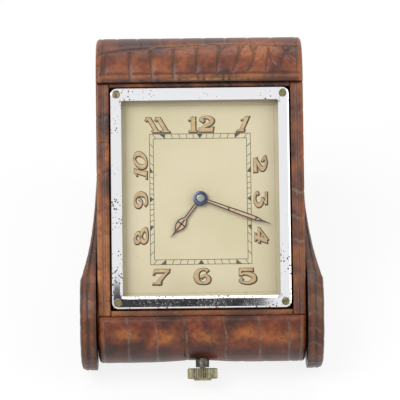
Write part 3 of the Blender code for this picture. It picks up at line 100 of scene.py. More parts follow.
# Top roll. Vegetable-tanned reptile hide, stretched wet over the round end and glued. Belly scales
# lie side by side across it between tooled lines, and the lip over the dial is rubbed to bare tan.
# From here, case and stand place pieces drawn in mm from the hinge line: x right, y back, z up.
hinge = next(joint for joint in frame["joints"] if joint["name"] == "case_hinge")
LEAN = math.radians(45.0)
stand = Matrix.Translation(hinge["pos_m"]) @ Matrix.Scale(0.001, 4)
case = Matrix.Translation(hinge["pos_m"]) @ Matrix.Rotation(-LEAN, 4, "X") @ Matrix.Scale(0.001, 4)
ROLL_RADIUS, HALF_WIDTH, END_ROUND = 15.93, 35.0, 1.6
ROLL_SPACING = 79.2
SHARP_FROM = math.radians(42.0)
# Signs that the mesh carries: rub and painted highlight, dirt and painted shade, creases, and dust.
SIGNS = ("rub_and_highlight", "dirt_and_shade", "crease", "dust")


def leather(name, dark, middle, light, dusty):
    """Glazed hide: clouded dye, a mottled glaze and pores, then the marks that the mesh carries."""
    material, tree, shader, place = start(name)
    cloud = add(tree, "TexNoise", [("Vector", place), ("Scale", 1000 / 13), ("Detail", 6.0),
                                   ("Roughness", 0.6)])
    colour = add(tree, "ValToRGB", [("Fac", cloud.outputs["Fac"])],
                 stops=((0.38, dark), (0.51, middle), (0.65, light))).outputs["Color"]
    glaze = add(tree, "TexNoise", [("Vector", place), ("Scale", 1000 / 1.5), ("Detail", 4.0)])
    mottle = add(tree, "ValToRGB", [("Fac", glaze.outputs["Fac"])],
                 stops=((0.34, "9c8c86"), (0.62, "ffffff")))
    colour = add(tree, "Mix", [(0, 0.6), (6, colour), (7, mottle.outputs["Color"])],
                 data_type="RGBA", blend_type="MULTIPLY").outputs[2]
    broken = add(tree, "MapRange", [("Value", glaze.outputs["Fac"]), ("From Min", 0.36),
                                    ("From Max", 0.58), ("To Min", 0.45), ("To Max", 1.0)])
    # Besides real wear and dirt, the tan rub colour also paints highlights, and the dark dirt colour paints shade
    # and shadow, wherever the mesh's signs ask for them.
    for word, code in zip(SIGNS, ("a8652f", "2c1712", "261b18", dusty)):
        sign = add(tree, "Attribute", attribute_name=word).outputs["Fac"]
        share = add(tree, "Math", [(0, sign), (1, broken.outputs[0])], operation="MULTIPLY",
                    use_clamp=True)
        colour = add(tree, "Mix", [(0, share.outputs[0]), (6, colour), (7, srgb(code))],
                     data_type="RGBA").outputs[2]
    tree.links.new(colour, shader.inputs["Base Color"])
    # Hair pores lie 0.3 mm apart on the real hide, and are drawn 0.8 mm apart so that they show.
    pores = add(tree, "TexVoronoi", [("Vector", place), ("Scale", 1000 / 0.8)])
    height = add(tree, "Math", [(0, pores.outputs["Distance"]), (1, glaze.outputs["Fac"])],
                 operation="ADD")
    bump = add(tree, "Bump", [("Height", height.outputs[0]), ("Strength", 0.4),
                              ("Distance", 0.0001)])
    tree.links.new(bump.outputs[0], shader.inputs["Normal"])
    # The last sign, dust, takes the shine off wherever it lies.
    sheen = add(tree, "MapRange", [("Value", cloud.outputs["Fac"]), ("To Min", 0.30),
                                   ("To Max", 0.55)])
    dull = add(tree, "Math", [(0, sheen.outputs[0]), (1, sign)], operation="MAXIMUM")
    tree.links.new(dull.outputs[0], shader.inputs["Roughness"])
    shader.inputs["Specular IOR Level"].default_value = 0.35
    shader.inputs["Coat Weight"].default_value = 0.12
    shader.inputs["Coat Roughness"].default_value = 0.20
    return material


def furrows(u, v, lines):
    """How deep, in mm, and how plainly each point (u, v) lies in the drawn lines."""
    sink, trace = np.zeros(len(u)), np.zeros(len(u))
    for points, width, deep in lines:
        for (u0, v0), (u1, v1) in zip(points, points[1:]):
            run = max((u1 - u0) ** 2 + (v1 - v0) ** 2, 1e-9)
            share = np.clip(((u - u0) * (u1 - u0) + (v - v0) * (v1 - v0)) / run, 0.0, 1.0)
            gap = np.hypot(u - u0 - share * (u1 - u0), v - v0 - share * (v1 - v0)) / width
            groove = 0.6 * np.exp(-gap ** 2) + 0.4 * np.exp(-(gap / 3.2) ** 2)
            sink = np.maximum(sink, deep * groove)
            trace = np.maximum(trace, np.exp(-gap ** 2))
    return sink, trace


def round_roll(x, degrees, lines):
    """The furrows of lines whose points are (x in mm, degrees round from the front)."""
    turned = [([(u, math.radians(v) * ROLL_RADIUS) for u, v in points], width, deep)
              for points, width, deep in lines]
    return furrows(x, np.radians(degrees) * ROLL_RADIUS, turned)


def near(value, middle, width):
    return np.exp(-((value - middle) / width) ** 2)


def shape(name, form, material, body, place):
    """Turns a bmesh drawn in mm into a finished piece that rides on a body."""
    bmesh.ops.recalc_face_normals(form, faces=form.faces)
    mesh = bpy.data.meshes.new(name)
    form.to_mesh(mesh)
    form.free()
    mesh.transform(place)
    mesh.materials.append(material)
    mesh.shade_smooth()
    mesh.set_sharp_from_angle(angle=SHARP_FROM)
    piece = bpy.data.objects.new(name, mesh)
    bpy.context.scene.collection.objects.link(piece)
    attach(piece, body)
    return piece


def roll(name, node, material, middle, up, edge, wrinkle):
    """Bends a sheet round a roll, presses its creases in, rounds its ends and closes it below."""
    form = bmesh.new()
    layers = [form.verts.layers.float.new(word) for word in SIGNS]
    bmesh.ops.create_grid(form, x_segments=250, y_segments=160, size=1.0)
    first = math.asin(edge / ROLL_RADIUS)
    flat = np.array([vert.co[:2] for vert in form.verts])
    x = flat[:, 0] * HALF_WIDTH
    angle = first + (flat[:, 1] + 1.0) / 2 * (math.pi - 2 * first)
    fall = np.clip((np.abs(x) - HALF_WIDTH + END_ROUND) / END_ROUND, 0.0, 1.0)
    sink, signs = wrinkle(x, np.degrees(angle))
    radius = ROLL_RADIUS - END_ROUND * (1.0 - np.sqrt(1.0 - fall ** 2)) - sink * (1.0 - fall)
    spots = np.column_stack((x, -radius * np.cos(angle), radius * np.sin(angle)))
    for vert, spot, sign in zip(form.verts, spots, np.column_stack(signs)):
        vert.co = spot
        for layer, value in zip(layers, sign):
            vert[layer] = value
    border = [side for side in form.edges if side.is_boundary]
    for vert in bmesh.ops.extrude_edge_only(form, edges=border)["geom"]:
        if isinstance(vert, bmesh.types.BMVert):
            vert.co = (vert.co.x, 0.0, edge)
    bmesh.ops.remove_doubles(form, verts=form.verts, dist=0.001)
    bmesh.ops.scale(form, verts=form.verts, vec=(1.0, 1.0, up))
    bmesh.ops.translate(form, verts=form.verts, vec=(0.0, 0.0, middle))
    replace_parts(shape(name, form, material, "case", case), node)


# Tooled and natural lines, each with a width and a depth in mm.
top_lines = [([(-34, 6.4), (-20, 6.6), (0, 6.4), (18, 6.6), (34, 6.2)], 0.28, 0.34),
             ([(-32.9, 7), (-32.9, 86)], 0.22, 0.22), ([(33.1, 7), (33.1, 86)], 0.22, 0.22),
             ([(-34, 34), (-29, 38), (-24, 42), (-14, 45.5), (-8, 47)], 0.42, 0.40),
             ([(-8, 47), (0, 50.5), (8, 52), (16, 51.5), (24, 48.5), (34, 45)], 0.24, 0.34)]
for x, points, width in (
        (-32.0, ((0, 9), (0.2, 34)), 0.34),
        (-23.7, ((0.3, 2), (0, 20), (0.1, 36)), 0.40),
        (-16.4, ((0.4, 2), (0, 18), (-0.4, 38)), 0.36),
        (-8.9, ((0.2, 2), (0, 18), (0.1, 46)), 0.42),
        (-1.1, ((0, 9), (0.2, 24), (0.2, 46)), 0.42),
        (5.9, ((0, 9), (0.3, 26), (1.0, 36), (0.8, 49)), 0.38),
        (6.9, ((0, 36), (1.2, 42), (2.6, 50)), 0.24),
        (11.1, ((0, 9), (1.6, 24), (2.3, 34), (2.6, 48)), 0.36),
        (13.4, ((0, 36), (0.9, 42), (1.8, 50)), 0.24),
        (16.4, ((0, 10), (1.6, 20), (2.3, 32), (0.9, 50)), 0.34),
        (18.8, ((0, 38), (1.0, 48)), 0.22),
        (22.4, ((0, 9), (0.4, 20), (0.9, 32)), 0.22),
        (23.4, ((0, 44), (0.4, 30), (1.0, 22), (2.3, 16)), 0.22),
        (27.8, ((0, 46), (2.0, 32), (4.8, 20)), 0.24),
        (27.5, ((0, 14), (0.6, 26), (2.4, 36), (3.4, 46)), 0.20)):
    top_lines.append(([(x + step, degrees) for step, degrees in points], width * 1.25, 0.42))
for x in (-27.5, -20.5, -12.8, -5.4, 1.9, 9.4, 17.2, 25.1):
    top_lines.append(([(x + 0.9, 48), (x + 0.2, 60), (x - 0.6, 74), (x - 0.2, 86)], 0.24, 0.24))
for row, low in enumerate((86, 112, 140)):
    top_lines.append(([(-34, low), (-12, low - 2), (10, low + 1), (34, low - 1)], 0.30, 0.32))
    for step in range(9):
        x = -30.0 + 7.4 * step + (3.2 if row % 2 else 0.0)
        top_lines.append(([(x, low), (x + 0.7, low + 14), (x - 0.3, low + 28)], 0.30, 0.34))
scratches = [
    ([(-17, 45), (-13, 49), (-8, 48.5), (-2, 52), (8, 54), (14, 53), (20, 50)], 0.16, 0.10),
    ([(-12, 42), (-9, 45), (-5, 45.5), (0, 48.5), (6, 49.5)], 0.14, 0.08)]


def top_wrinkle(x, degrees):
    sink, crease = round_roll(x, degrees, top_lines)
    scrape = round_roll(x, degrees, scratches)[1]
    fray = 0.55 + 0.45 * np.sin(x * 1.9 + np.sin(x * 0.7) * 2.0) * np.sin(x * 0.43 + 1.0)
    lip = near(degrees, 3.2, 2.0) * 0.6 * fray
    rub_and_highlight = (np.maximum(lip, 0.45 * near(np.abs(x), 34.5, 1.0))
           + 0.25 * near(x, 8.0, 16.0) * near(degrees, 42, 16))
    # Painted shade darkens the roll's upper part, past 50 degrees round, and a painted shadow lies along the
    # underside of the lip. The patch at the left is a darker tone of the hide.
    dirt_and_shade = (0.35 * np.clip((degrees - 50.0) / 12.0, 0.0, 1.0) + 0.25 * near(x, -26.0, 9.0)
            + 0.95 * near(degrees, -2.6, 3.2))
    thread = near(degrees, -0.8, 1.1) * near(x, 3.0, 14.0) * (fray > 0.4)
    dust = np.maximum(0.5 * scrape, 0.8 * thread)
    return sink, (rub_and_highlight, dirt_and_shade * (np.abs(x) < 33.0), crease * 0.92, dust)


top_hide = leather("glazed_reptile_hide", "451d10", "74391f", "985730", "a8834a")
roll("top_roll_hide", "top_roll_leather", top_hide, ROLL_SPACING, 1, -1.0, top_wrinkle)

# Bottom roll. The same hide, glossier from the hand that winds the clock. Dust has packed its cross
# creases pale, a painted highlight runs along it with painted shade on its underside below, and it
# is pressed in a little round the winding stem.
bottom_lines = [([(-33, 7.6), (0, 7.4), (33, 7.2)], 0.15, 0.20),
                ([(-33.0, 7), (-33.0, 172)], 0.18, 0.24), ([(33.0, 7), (33.0, 172)], 0.18, 0.24)]
for x, sway in ((-25.0, 0.4), (-15.6, 0.7), (-5.8, 0.6), (7.4, 0.9), (19.2, 0.5), (29.0, 0.4)):
    bottom_lines.append(([(x - 0.3, 5), (x, 14), (x + sway, 30), (x + sway / 2, 52),
                          (x + sway, 90)], 0.24, 0.40))
for row, low in enumerate((90, 116, 144)):
    bottom_lines.append(([(-34, low), (-10, low + 2), (12, low - 1), (34, low + 1)], 0.30, 0.34))
    for step in range(8):
        x = -28.0 + 8.3 * step + (3.6 if row % 2 else 0.0)
        bottom_lines.append(([(x, low), (x - 0.6, low + 14), (x + 0.4, low + 28)], 0.30, 0.34))


def bottom_wrinkle(x, degrees):
    sink, crease = round_roll(x, degrees, bottom_lines)
    pressed = 0.8 * near(x, -2.0, 9.0) * near(degrees, 98.0, 26.0)
    # Painted shade darkens the underside, from about 38 degrees round onwards.
    dirt_and_shade = 0.85 * np.clip((degrees - 38.0 - 4.0 * np.sin(x * 0.21)) / 12.0, 0.0, 1.0)
    dirt_and_shade = dirt_and_shade * (0.75 + 0.25 * np.sin(x * 0.55 + 2.0))
    # A painted highlight, laid on with the rub colour, runs in a band near 29 degrees round.
    worn = near(degrees, 29.0 + 4.0 * np.sin(x * 0.3), 8.0) * (0.55 + 0.45 * np.sin(x * 0.47 + 1.0))
    rub_and_highlight = 0.5 * near(np.abs(x), 34.4, 1.2) + 0.8 * worn
    dust = 0.8 * crease * near(degrees, 40.0, 45.0) * (0.7 + 0.3 * np.sin(degrees * 0.23 + x))
    return sink + pressed, (rub_and_highlight, dirt_and_shade, 0.5 * crease, dust)


bottom_hide = leather("handled_reptile_hide", "3d170b", "6e3018", "965022", "948371")
bottom_hide.node_tree.nodes["Principled BSDF"].inputs["Coat Weight"].default_value = 0.18
roll("bottom_roll_hide", "bottom_roll_leather", bottom_hide, 0.0, -1, 1.0, bottom_wrinkle)


# Rails, bands and back. Thin strips of the same hide, pared at their edges, turned over the front
# corners of the case and glued down. Two tooled lines run along each rail, with cracks across it.
def cover(name, node, material, body, place, edge, cell, wrinkle):
    """Takes a CAD strip's shape, rounds its edges, divides it finely and presses its creases in."""
    form = bmesh.new()
    form.from_mesh(frame["nodes"][node].data)
    form.transform(place.inverted())
    bmesh.ops.remove_doubles(form, verts=form.verts, dist=0.0005)
    bmesh.ops.dissolve_limit(form, angle_limit=math.radians(1.0), verts=form.verts,
                             edges=form.edges)
    sharp = [side for side in form.edges if side.calc_face_angle(0.0) > math.radians(50.0)]
    bmesh.ops.bevel(form, geom=sharp, offset=edge, affect="EDGES", segments=3, profile=0.5,
                    material=-1, clamp_overlap=True)
    # Each pass halves the long sides, and nine bring the longest of them down to the cell's size.
    for _ in range(9):
        bmesh.ops.triangulate(form, faces=form.faces)
        long = [side for side in form.edges if side.calc_length() > cell]
        bmesh.ops.subdivide_edges(form, edges=long, cuts=1)
    bmesh.ops.triangulate(form, faces=form.faces)
    layers = [form.verts.layers.float.new(word) for word in SIGNS]
    form.normal_update()
    spots = np.array([vert.co for vert in form.verts])
    faces = np.array([vert.normal for vert in form.verts])
    sink, signs = wrinkle(spots, faces)
    pressed = spots - faces * sink[:, None]
    for vert, spot, sign in zip(form.verts, pressed, np.column_stack(signs)):
        vert.co = spot
        for layer, value in zip(layers, sign):
            vert[layer] = value
    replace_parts(shape(name, form, material, body, place), node)


def scales(spots, size, depth):
    """The net of creases between round scales of a size in mm."""
    found = [noise.voronoi(Vector(spot) / size)[0] for spot in spots]
    trace = np.array([math.exp(-((second - first) / 0.09) ** 2) for first, second, *_ in found])
    return trace * depth, trace


def every(value, step, width):
    """Marks of a width, one in the middle of each step."""
    return near(np.abs((value / step) % 1.0 - 0.5) * step, 0.0, width)


def rail_wrinkle(spots, faces):
    x, y, z = spots.T
    right = x > 0
    front = faces[:, 1] < -0.5
    tooled = np.maximum(near(np.abs(x), 33.0, 0.22), 0.7 * near(np.abs(x), 32.2, 0.20)) * front
    along = z + 0.5 * np.sin(np.abs(x) * 1.1 + y * 0.3) + 1.2 * np.sin(z * 0.21)
    crack = every(along, np.where(right, 9.3, 10.4), 0.34)
    crease = np.maximum(0.85 * tooled, np.where(right, 0.35, 0.75) * crack)
    dust = np.where(right, 0.55, 0.15) * crack * (0.5 + 0.5 * np.sin(z * 0.8))
    # The right rail is darker all over, and painted shade runs along each rail's inner edge, beside the bezel.
    dirt_and_shade = np.where(right, 0.30, 0.10) + 0.25 * near(np.abs(x), 30.9, 0.7) + 0.1 * np.sin(z * 0.33)
    rub_and_highlight = 0.4 * near(np.abs(x), 34.6, 0.6) * front
    return 0.16 * tooled + 0.14 * crack, (rub_and_highlight, np.clip(dirt_and_shade, 0.0, 1.0), crease, dust)


def band_wrinkle(spots, faces):
    x, y, z = spots.T
    top = z > 40.0
    crack = every(x + 0.6 * np.sin(z * 3.0) + 2.0 * np.sin(x * 0.31), 6.1, 0.22)
    # The top band, under the lip, is darker all over, and painted shade lies in a line along the bottom band's
    # lower edge, in the seam at the roll.
    dirt_and_shade = np.where(top, 0.45 + 0.3 * np.sin(x * 0.37), 0.25 + 0.5 * near(z, -0.4, 0.5))
    rub_and_highlight = np.where(top, 0.55 * crack, 0.35)
    return 0.06 * crack, (rub_and_highlight, np.clip(dirt_and_shade, 0.0, 1.0), 0.4 * crack, 0.3 * crack)


def back_wrinkle(spots, faces):
    sink, trace = scales(spots, 7.5, 0.12)
    rub_and_highlight = 0.2 * near(np.abs(spots[:, 0]), 33.4, 0.8)
    return sink, (rub_and_highlight, 0.25 + 0.0 * trace, 0.75 * trace, 0.12 * trace)


rail_hide = leather("pared_reptile_hide", "47200f", "894c27", "b4733c", "9d8a70")
for side in ("left", "right"):
    cover("rail_hide_" + side, "rail_leather_" + side, rail_hide, "case", case, 0.3, 0.75,
          rail_wrinkle)
for end in ("top", "bottom"):
    cover(end + "_band_hide", end + "_band_leather", rail_hide, "case", case, 0.15, 0.5,
          band_wrinkle)
cover("case_back_hide", "case_back", rail_hide, "case", case, 0.4, 1.3, back_wrinkle)

# Stand cheeks and floor. Stiff board cut round at the front, covered both sides with hide whose
# edges meet in a seam along the rim. The rim is darker low down, and hands have frayed its end.
CHEEK_INSIDE, CHEEK_WIDTH, STAND_DEPTH = 35.5, 5.4, 94.0


def cheek_wrinkle(spots, faces):
    x, y, z = spots.T
    thin = 0.2 + 0.8 * (1.0 - np.clip(y / STAND_DEPTH, 0.0, 1.0)) ** 4
    across = (np.abs(x) - CHEEK_INSIDE) / (CHEEK_WIDTH * thin)
    rim = np.abs(faces[:, 0]) < 0.8
    round_by = np.degrees(np.arctan2(-z, -y + 1e-6))
    seam = near(across, 0.5, 0.06) * rim
    # The cracks lie 17 degrees apart round the rim, where a degree is 0.32 mm.
    crack = every((round_by + 3.0 * np.sin(across * 5.0)) * 0.32, 17.0 * 0.32, 0.26) * rim
    sink, trace = scales(spots, 6.5, 0.12)
    right_side_darker = np.where(x > 0, 0.42, 0.10)
    low = np.clip((round_by - 10.0) / 60.0, 0.0, 1.0) * (y < 6.0)
    # The right cheek is darker all over, and the rim darker low down and along its two edges.
    dirt_and_shade = (0.12 + right_side_darker + 0.6 * low + 0.35 * near(np.abs(across - 0.5), 0.5, 0.16) * rim
            + 0.12 * np.sin(round_by * 0.35) * rim + 0.15 * ~rim)
    rub_and_highlight = 0.35 * near(np.abs(across - 0.5), 0.24, 0.12) * rim * (1.0 - low)
    crease = np.maximum(0.9 * seam, np.where(rim, 0.55 * crack, 0.7 * trace))
    dust = np.where(rim, 0.35 * crack * (x > 0), 0.12 * trace)
    pressed = 0.22 * seam + np.where(rim, 0.12 * crack, sink)
    return pressed, (rub_and_highlight, np.clip(dirt_and_shade, 0.0, 1.0), crease, dust)


def floor_wrinkle(spots, faces):
    sink, trace = scales(spots, 8.0, 0.10)
    return sink, (0.0 * trace, 0.30 + 0.0 * trace, 0.7 * trace, 0.15 * trace)


cheek_hide = leather("blackened_reptile_hide", "2b130c", "60321d", "8c5530", "93826c")
for side in ("left", "right"):
    cover("cheek_hide_" + side, "stand_cheek_" + side, cheek_hide, "stand", stand, 0.5, 0.8,
          cheek_wrinkle)
cover("stand_floor_hide", "stand_floor", cheek_hide, "stand", stand, 0.1, 1.4, floor_wrinkle)


# Movement. Stamped brass plates and cut brass wheels, brushed flat before gilding, with turned and
# polished steel between them. A tinned iron band and cover keep the dust out.
def clouded(tree, shader, place, size, detail, tones, rough=None):
    """Clouds of a size in mm, in which the colour drifts, and the roughness where it is given."""
    cloud = add(tree, "TexNoise", [("Vector", place), ("Scale", 1000 / size), ("Detail", detail)])
    tone = add(tree, "ValToRGB", [("Fac", cloud.outputs["Fac"])],
               stops=((0.3, tones[0]), (0.7, tones[1])))
    tree.links.new(tone.outputs["Color"], shader.inputs["Base Color"])
    if rough:
        dull = add(tree, "MapRange", [("Value", cloud.outputs["Fac"]), ("To Min", rough[0]),
                                      ("To Max", rough[1])])
        tree.links.new(dull.outputs[0], shader.inputs["Roughness"])
    return cloud.outputs["Fac"], tone.outputs["Color"]


# Brushed brass: scratches 0.5 mm apart along x give the eye a soft silky streak.
brass, tree, shader, place = start("brushed_brass")
drawn = add(tree, "Mapping", [("Vector", place), ("Scale", (0.06, 1.0, 1.0))])
clouded(tree, shader, drawn.outputs[0], 0.5, 4.0, ("a8843e", "cfae66"), (0.26, 0.46))
shader.inputs["Metallic"].default_value = 1.0
# Turned steel: cool grey with faint clouds of oil film 2.5 mm across.
steel, tree, shader, place = start("turned_steel")
clouded(tree, shader, place, 2.5, 4.0, ("7b7d80", "b2b5b8"), (0.20, 0.38))
shader.inputs["Metallic"].default_value = 1.0
# Tinned iron: grey-white with spangles 4 mm across and spots of rust.
tin, tree, shader, place = start("tinned_iron")
spangle = add(tree, "TexVoronoi", [("Vector", place), ("Scale", 1000 / 4.0)])
tone = add(tree, "ValToRGB", [("Fac", spangle.outputs["Distance"])],
           stops=((0.1, "a9a9a2"), (0.8, "7f7e77")))
rust = add(tree, "TexNoise", [("Vector", place), ("Scale", 1000 / 1.2), ("Detail", 4.0)])
spots = add(tree, "MapRange", [("Value", rust.outputs["Fac"]), ("From Min", 0.62),
                               ("From Max", 0.72)])
rusted = add(tree, "Mix", [(0, spots.outputs[0]), (6, tone.outputs["Color"]), (7, srgb("6a4a33"))],
             data_type="RGBA")
tree.links.new(rusted.outputs[2], shader.inputs["Base Color"])
dull = add(tree, "MapRange", [("Value", rust.outputs["Fac"]), ("To Min", 0.35), ("To Max", 0.6)])
tree.links.new(dull.outputs[0], shader.inputs["Roughness"])
shader.inputs["Metallic"].default_value = 1.0
# Blued steel: tempered until the oxide turns dark blue, streaked where the heat ran unevenly.
blued, tree, shader, place = start("heat_blued_steel")
clouded(tree, shader, place, 3.0, 3.0, ("32384a", "555c72"), (0.24, 0.40))
shader.inputs["Metallic"].default_value = 0.8
metals = {"brass": brass, "steel": steel, "tinned_sheet": tin, "blued_steel": blued}
for part in frame["record"]["subparts"]:
    if part["material_slot"] in metals:
        dress(metals[part["material_slot"]], part["node"])

# Dial. A brass sheet sprayed with cream lacquer, gone slightly green, with painted shade round its
# border. The lacquer is satin, clouded where it has yellowed, with a few small spots.
cream, tree, shader, place = start("yellowed_cream_lacquer")
cloud = add(tree, "TexNoise", [("Vector", place), ("Scale", 1000 / 26), ("Detail", 5.0),
                               ("Roughness", 0.55)])
tone = add(tree, "ValToRGB", [("Fac", cloud.outputs["Fac"])],
           stops=((0.32, "c9c09f"), (0.52, "d1c6a8"), (0.72, "d6cbb1")))
fleck = add(tree, "TexNoise", [("Vector", place), ("Scale", 1000 / 2.2), ("Detail", 2.0)])
spots = add(tree, "ValToRGB", [("Fac", fleck.outputs["Fac"])],
            stops=((0.70, "ffffff"), (0.78, "b5a374")))
aged = add(tree, "Mix", [(0, 0.4), (6, tone.outputs["Color"]), (7, spots.outputs["Color"])],
           data_type="RGBA", blend_type="MULTIPLY")
tree.links.new(aged.outputs[2], shader.inputs["Base Color"])
orange_peel = add(tree, "Bump", [("Height", fleck.outputs["Fac"]), ("Strength", 0.08),
                                 ("Distance", 0.0001)])
tree.links.new(orange_peel.outputs[0], shader.inputs["Normal"])
satin = add(tree, "MapRange", [("Value", cloud.outputs["Fac"]), ("To Min", 0.42),
                               ("To Max", 0.58)])
tree.links.new(satin.outputs[0], shader.inputs["Roughness"])
dress(cream, "dial")

# Minute track. Two fine ruled lines round a rectangle, with a stroke for each minute and a dark
# wedge at every fifth, pad-printed in one pass of thin grey-green ink.
dial = case @ Matrix.Translation((0.0, -16.0, 39.0))
DIAL_FRONT, INK_DEPTH = 6.5, 0.01
OUTER_TRACK, INNER_TRACK = (17.1, 22.15), (15.8, 20.55)
TRACK_LINE, WEDGE = 0.20, 1.05
ink, tree, shader, place = start("printed_dial_ink")
clouded(tree, shader, place, 1.4, 2.0, ("3c392c", "5f5b47"))
shader.inputs["Roughness"].default_value = 0.6


def ruled(form, half_x, half_z, width):
    """A ruled rectangle: a flat face inset by the line's width, with its middle taken out."""
    corners = [form.verts.new((x * half_x, DIAL_FRONT - INK_DEPTH, z * half_z))
               for x, z in ((-1, -1), (1, -1), (1, 1), (-1, 1))]
    middle = form.faces.new(corners)
    form.normal_update()
    bmesh.ops.inset_individual(form, faces=[middle], thickness=width, use_even_offset=True)
    bmesh.ops.delete(form, geom=[middle], context="FACES_ONLY")


def printed(form, rise):
    """Gives flat print the thickness of the ink, towards the eye."""
    grown = bmesh.ops.extrude_face_region(form, geom=form.faces[:])["geom"]
    bmesh.ops.translate(form, verts=[v for v in grown if isinstance(v, bmesh.types.BMVert)],
                        vec=(0.0, -rise, 0.0))


# The lines are 0.1 mm wide on a real dial, and are drawn 0.2 mm wide so that they show.
form = bmesh.new()
for half_x, half_z in (OUTER_TRACK, INNER_TRACK):
    ruled(form, half_x + TRACK_LINE / 2, half_z + TRACK_LINE / 2, TRACK_LINE)
for minute in range(60):
    turn = math.radians(6.0 * minute)
    way = Vector((math.sin(turn), 0.0, math.cos(turn)))
    far, close = [way * min(half_x / max(abs(way.x), 1e-9), half_z / max(abs(way.z), 1e-9))
                  for half_x, half_z in (OUTER_TRACK, INNER_TRACK)]
    level = Vector((0.0, DIAL_FRONT - 2 * INK_DEPTH, 0.0))
    if minute % 5 == 0:
        level_run = abs(abs(far.z) - OUTER_TRACK[1]) < 0.001
        along = Vector((WEDGE, 0, 0)) if level_run else Vector((0, 0, WEDGE))
        form.faces.new([form.verts.new(spot + level) for spot in (far + along, close, far - along)])
    else:
        lay = (Matrix.Translation((far + close) / 2 + level) @ Matrix.Rotation(turn, 4, "Y")
               @ Matrix.Rotation(math.radians(90.0), 4, "X")
               @ Matrix.Diagonal((TRACK_LINE, (far - close).length, 1.0, 1.0)))
        bmesh.ops.create_grid(form, x_segments=1, y_segments=1, size=0.5, matrix=lay)
printed(form, INK_DEPTH)
shape("minute_track", form, ink, "case", dial)
# A faint ochre line of painted shade runs round the dial, at the edge of its border.
ochre, tree, shader, place = start("painted_border_shade")
clouded(tree, shader, place, 2.0, 2.0, ("b9aa7e", "cfc297"))
shader.inputs["Roughness"].default_value = 0.55
form = bmesh.new()
ruled(form, 25.3, 31.9, 0.22)
printed(form, INK_DEPTH)
shape("dial_border", form, ochre, "case", dial)

# Hour numbers. Broad figures printed twice: a dark brown ground set a little low and to the right,
# then a gilt face over it, so that each has an edge of shadow. Their feet stand to the track.
gilt, tree, shader, place = start("faded_gilt_print")
clouded(tree, shader, place, 1.8, 4.0, ("b39770", "cab088"))
shader.inputs["Roughness"].default_value = 0.5
ground, tree, shader, place = start("brown_print_ground")
clouded(tree, shader, place, 1.8, 2.0, ("332a21", "57473a"))
shader.inputs["Roughness"].default_value = 0.6
FIGURE_HEIGHT, SIDE_FIGURE_SHARE = 5.15, 0.85
# Each stroke is a row of (across, up, half width) points in shares of the figure's height.
six = (((0.92, 0.80, 0.09), (0.80, 0.93, 0.08), (0.55, 0.95, 0.07), (0.28, 0.82, 0.12),
        (0.17, 0.50, 0.16), (0.28, 0.18, 0.13), (0.58, 0.05, 0.06), (0.90, 0.14, 0.12),
        (0.97, 0.36, 0.13), (0.78, 0.55, 0.08), (0.56, 0.48, 0.07), (0.50, 0.36, 0.05)),)
strokes = {
    "1": (((0.34, 0.02, 0.14), (0.34, 0.98, 0.14)), ((0.30, 0.94, 0.06), (0.04, 0.76, 0.04)),
          ((0.04, 0.04, 0.05), (0.56, 0.04, 0.05))),
    "2": (((0.30, 0.62, 0.04), (0.36, 0.72, 0.09), (0.20, 0.82, 0.11), (0.36, 0.94, 0.07),
           (0.66, 0.95, 0.09), (0.93, 0.76, 0.14), (0.78, 0.52, 0.12), (0.44, 0.34, 0.08),
           (0.12, 0.16, 0.07)),
          ((0.06, 0.13, 0.13), (0.98, 0.13, 0.13)), ((0.95, 0.14, 0.05), (1.00, 0.32, 0.03))),
    "3": (((0.10, 0.92, 0.08), (0.90, 0.92, 0.08)), ((0.88, 0.90, 0.06), (0.48, 0.62, 0.06)),
          ((0.46, 0.62, 0.06), (0.80, 0.56, 0.11), (0.95, 0.32, 0.15), (0.74, 0.07, 0.09),
           (0.38, 0.05, 0.07), (0.14, 0.20, 0.11), (0.26, 0.32, 0.05))),
    "4": (((0.66, 0.98, 0.10), (0.08, 0.36, 0.07)), ((0.02, 0.33, 0.08), (1.02, 0.33, 0.08)),
          ((0.72, 0.96, 0.14), (0.72, 0.02, 0.14)), ((0.46, 0.04, 0.05), (0.98, 0.04, 0.05))),
    "5": (((0.16, 0.90, 0.10), (1.02, 0.90, 0.10)), ((0.20, 0.92, 0.08), (0.14, 0.52, 0.07)),
          ((0.14, 0.56, 0.06), (0.50, 0.66, 0.09), (0.95, 0.52, 0.15), (1.00, 0.24, 0.14),
           (0.66, 0.05, 0.09), (0.30, 0.06, 0.07), (0.12, 0.20, 0.11), (0.26, 0.32, 0.05))),
    "6": six,
    "7": (((0.02, 0.88, 0.11), (1.00, 0.88, 0.11)), ((0.05, 0.90, 0.06), (0.03, 0.64, 0.04)),
          ((0.94, 0.84, 0.08), (0.62, 0.46, 0.12), (0.40, 0.03, 0.16)),
          ((0.10, 0.04, 0.05), (0.66, 0.04, 0.05))),
    "8": (((0.50, 0.98, 0.07), (0.24, 0.88, 0.11), (0.24, 0.66, 0.12), (0.52, 0.52, 0.08),
           (0.84, 0.38, 0.13), (0.90, 0.16, 0.12), (0.52, 0.03, 0.07), (0.14, 0.14, 0.13),
           (0.18, 0.38, 0.13), (0.50, 0.54, 0.08), (0.78, 0.68, 0.11), (0.76, 0.88, 0.11),
           (0.50, 0.98, 0.07)),),
    "9": tuple(tuple((1.08 - x, 1.0 - z, half) for x, z, half in stroke) for stroke in six),
    "0": (((0.50, 0.97, 0.06), (0.20, 0.82, 0.12), (0.08, 0.50, 0.15), (0.20, 0.18, 0.12),
           (0.50, 0.03, 0.06), (0.80, 0.18, 0.12), (0.92, 0.50, 0.15), (0.80, 0.82, 0.12),
           (0.50, 0.97, 0.06)),)}
advances = {"1": 0.64}
WIDE_ADVANCE, FIGURE_GAP = 1.16, 0.12
